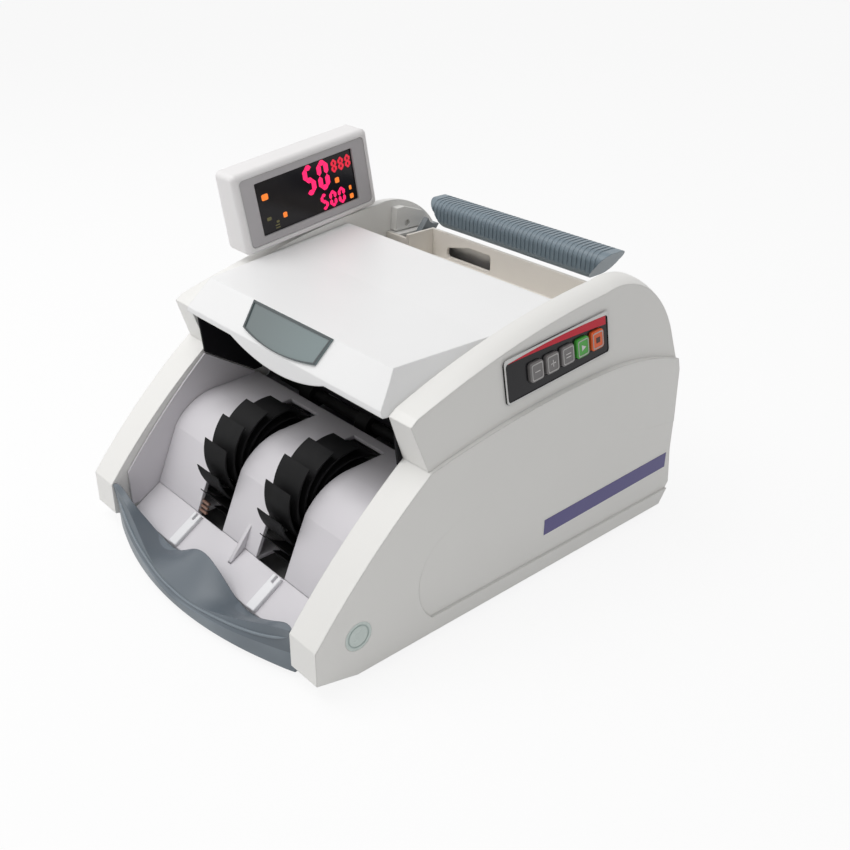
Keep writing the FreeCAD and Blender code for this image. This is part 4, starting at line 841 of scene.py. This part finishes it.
class COUNTER_OT_display(bpy.types.Operator):
    """Display pod with lit figures behind a dark window"""
    bl_idname = "counter.display"
    bl_label = "Display pod"

    def execute(self, context):
        paint(moulded("Pod white", tone(228, 226, 226), 0.36, 0.000012, 0.0012, 0.01), "pod_shell")
        paint(moulded("Bezel grey", tone(178, 175, 177), 0.42, 0.00002, 0.0007, 0.02), "pod_bezel")
        paint(glossy("Window black", tone(22, 19, 23), 0.1, Specular_IOR_Level=0.3), "pod_window")
        face, width, height = face_frame("pod_window", (1, 0, 0), (0, 1, 0))
        under_bezel = 0.0016
        view = width - under_bezel, height - under_bezel
        size = trim()
        count = lit("Figures lit", shade("figures"), 1.25)
        batch = lit("Batch lit", tone(226, 22, 56))
        lamps = lit("Lamps lit", shade("lamps"), 1.1)
        marks = lit("Marks dim", tone(92, 88, 48), 0.6)
        for name, shapes, finish in (("lit_figures", self.figures(COUNT_ROWS, view), count),
                                     ("lit_batch", self.figures(BATCH_ROWS, view), batch),
                                     ("lit_lamps", self.spots(LAMPS, view), lamps),
                                     ("dim_marks", self.spots(DIM_MARKS, view), marks)):
            printed = plates(shapes, face, size.lift, size.print_thickness)
            new_piece(name, printed, finish, "display")
        return {"FINISHED"}

    def at(self, view, across, down):
        """A point on the window's axes, from shares of the part of it in view."""
        return (across - 0.5) * view[0], (0.5 - down) * view[1]

    def figures(self, rows, view):
        filled, slant = 0.82, 0.02
        shapes = []
        for text, start, end, foot, height, bar in rows:
            (x0, y0), (x1, _) = self.at(view, start, foot), self.at(view, end, foot)
            pitch = (x1 - x0) / len(text)
            for k, figure in enumerate(text):
                shapes += digit(figure, x0 + pitch * k, y0, pitch * filled,
                                getattr(trim(), height), bar, slant)
        return shapes

    def spots(self, places, view):
        shapes = []
        for across, down, a, b in places:
            x, y = self.at(view, across, down)
            shapes.append(rounded(x - a, y - b, x + a, y + b, min(a, b) * 0.5))
        return shapes


class COUNTER_OT_rear(bpy.types.Operator):
    """Black inlet, switch, jack, sensors and gap knob, and the stroke on the rocker"""
    bl_idname = "counter.rear"
    bl_label = "Rear fittings"

    def execute(self, context):
        black = moulded("Fitting black", tone(34, 34, 36), 0.45, 0.00003, 0.0004, 0.05)
        paint(black, "mains_inlet", "switch_frame", "display_socket", "note_sensors", "gap_knob")
        paint(glossy("Rocker black", tone(24, 24, 26), 0.2), "power_rocker")
        size = trim()
        face, width, height = face_frame("power_rocker", (0, 1, 0), (1, 0, 0))
        x, a, b = -width * 0.28, 0.00035, min(width, height) * 0.16
        outline = [(x - a, -b), (x + a, -b), (x + a, b), (x - a, b)]
        stroke = plates([outline], face, size.lift, size.print_thickness)
        new_piece("rocker_mark", stroke, moulded("Rocker print", tone(220, 220, 218), 0.4),
                  "power_rocker")
        return {"FINISHED"}


class COUNTER_OT_drive(bpy.types.Operator):
    """Metal, rubber and nylon of the drive and frames"""
    bl_idname = "counter.drive"
    bl_label = "Drive"

    def execute(self, context):
        plated = brushed("Zinc plate", tone(196, 197, 200), (1.0, 0.04, 1.0))
        paint(plated, "left_side_frame", "right_side_frame", "retard_unit")
        turned = brushed("Turned steel", tone(190, 190, 192), (0.03, 1.0, 1.0))
        paint(turned, "impeller_shaft", "feed_shaft", "pickup_shaft", "tie_rods",
              "shaft_bearings", "handle_pins", "case_screws")
        can = brushed("Motor can", tone(150, 152, 158), (0.05, 1.0, 1.0), 0.4)
        paint(can, "drive_motors", "impeller_motor_rotor", "feed_motor_rotor", "transformer")
        nylon = moulded("Nylon", tone(220, 220, 212), 0.45, 0.00002, 0.0003)
        paint(nylon, "impeller_pulley", "feed_pulley", "pickup_pulley", "transport_pulley")
        paint(rubber("Drive rubber", tone(34, 34, 34)), "impeller_belt", "feed_belt", "feed_tyres",
              "pickup_tyres", "transport_roller")
        paint(circuit("Circuit board", tone(28, 92, 52)), "key_board", "main_board", "pod_board")
        return {"FINISHED"}


class COUNTER_OT_stage(bpy.types.Operator):
    """Pale floor, soft light and the camera"""
    bl_idname = "counter.stage"
    bl_label = "Studio"

    def execute(self, context):
        studio = context.scene.counter_studio
        self.floor(studio)
        self.world(studio)
        self.lights(studio)
        self.camera(studio)
        context.scene.view_settings.view_transform = "Standard"
        return {"FINISHED"}

    def floor(self, studio):
        mesh = bpy.data.meshes.new("floor")
        reach, clear = 12.0, 0.00005
        corners = [(-reach, -reach, 0), (reach, -reach, 0), (reach, reach, 0), (-reach, reach, 0)]
        mesh.from_pydata(corners, [], [(0, 1, 2, 3)])
        floor = bpy.data.objects.new("floor", mesh)
        floor.location.z = -clear
        bpy.context.scene.collection.objects.link(floor)
        pale = Finish("Floor white", tone(244, 244, 244), 0.7)
        pale.set(Roughness=0.62 + pale.noise(3.0) * 0.15)
        glow = pale.node("ShaderNodeEmission", {}, {"Color": (1, 1, 1), "Strength": 1.0})
        share = pale.seen_directly() * (studio.floor_white / 100.0)
        pale.show(pale.node("ShaderNodeMixShader", {}, {0: share, 1: pale.surface, 2: glow}))
        mesh.materials.append(pale.material)

    def world(self, studio):
        bpy.context.scene.world = bpy.data.worlds.new("Studio")
        air = Graph(bpy.context.scene.world)
        even = air.node("ShaderNodeBackground", {}, {"Color": (1, 1, 1), "Strength": studio.sky})
        white = air.node("ShaderNodeBackground", {}, {"Color": (1, 1, 1), "Strength": 1.0})
        both = air.node("ShaderNodeMixShader", {}, {0: air.seen_directly(), 1: even, 2: white})
        air.node("ShaderNodeOutputWorld", {}, {"Surface": both})

    def lights(self, studio):
        aimed_at = Vector((0, 0.02, 0.08))
        for name, spot, size, power in (("softbox", (-0.35, -0.45, 1.35), 1.1, studio.key),
                                        ("fill", (-1.1, -0.6, 0.5), 0.9, studio.key * 0.12)):
            lamp = bpy.data.lights.new(name, "AREA")
            lamp.energy = power
            lamp.size = size
            obj = bpy.data.objects.new(name, lamp)
            obj.location = spot
            aim = aimed_at - Vector(spot)
            obj.rotation_euler = aim.to_track_quat("-Z", "Y").to_euler()
            bpy.context.scene.collection.objects.link(obj)

    def camera(self, studio):
        lens = bpy.data.cameras.new("camera")
        lens.sensor_width = 36.0
        lens.lens = studio.lens
        lens.clip_start = 0.01
        camera = bpy.data.objects.new("camera", lens)
        bpy.context.scene.collection.objects.link(camera)
        az, el, turn = studio.azimuth, studio.elevation, studio.roll
        back = Vector((math.sin(az) * math.cos(el), -math.cos(az) * math.cos(el), math.sin(el)))
        right = (-back).cross(Vector((0, 0, 1))).normalized()
        up = right.cross(-back)
        side = right * math.cos(turn) + up * math.sin(turn)
        top = up * math.cos(turn) - right * math.sin(turn)
        matrix = Matrix((side, top, back)).transposed().to_4x4()
        matrix.translation = Vector(studio.target) + back * studio.distance
        camera.matrix_world = matrix
        bpy.context.scene.camera = camera


# ---- panel and registration ---------------------------------------------------------------------

OPERATORS = (COUNTER_OT_case, COUNTER_OT_side_disc, COUNTER_OT_pocket, COUNTER_OT_hopper,
             COUNTER_OT_impellers, COUNTER_OT_tray, COUNTER_OT_badge, COUNTER_OT_handle,
             COUNTER_OT_panel, COUNTER_OT_keys, COUNTER_OT_side_strip, COUNTER_OT_display,
             COUNTER_OT_rear, COUNTER_OT_drive, COUNTER_OT_stage)


class COUNTER_PT_sidebar(bpy.types.Panel):
    """Lists the machine's pieces and the sizes and colours behind them"""
    bl_label = "Banknote Counter"
    bl_idname = "COUNTER_PT_sidebar"
    bl_space_type = "VIEW_3D"
    bl_region_type = "UI"
    bl_category = "Counter"

    def draw(self, context):
        for group in (context.scene.counter_trim, context.scene.counter_shades,
                      context.scene.counter_studio):
            column = self.layout.column(align=True)
            for name in group.__annotations__:
                column.prop(group, name)
        for operator in OPERATORS:
            self.layout.operator(operator.bl_idname)


CLASSES = (TrimSizes, CaseColours, StudioSettings) + OPERATORS + (COUNTER_PT_sidebar,)


def register():
    for item in CLASSES:
        bpy.utils.register_class(item)
    bpy.types.Scene.counter_trim = PointerProperty(type=TrimSizes)
    bpy.types.Scene.counter_shades = PointerProperty(type=CaseColours)
    bpy.types.Scene.counter_studio = PointerProperty(type=StudioSettings)


def unregister():
    del bpy.types.Scene.counter_studio
    del bpy.types.Scene.counter_shades
    del bpy.types.Scene.counter_trim
    for item in reversed(CLASSES):
        bpy.utils.unregister_class(item)


def main():
    register()
    for operator in OPERATORS:
        group, name = operator.bl_idname.split(".")
        getattr(getattr(bpy.ops, group), name)()


if __name__ == "__main__":
    main()
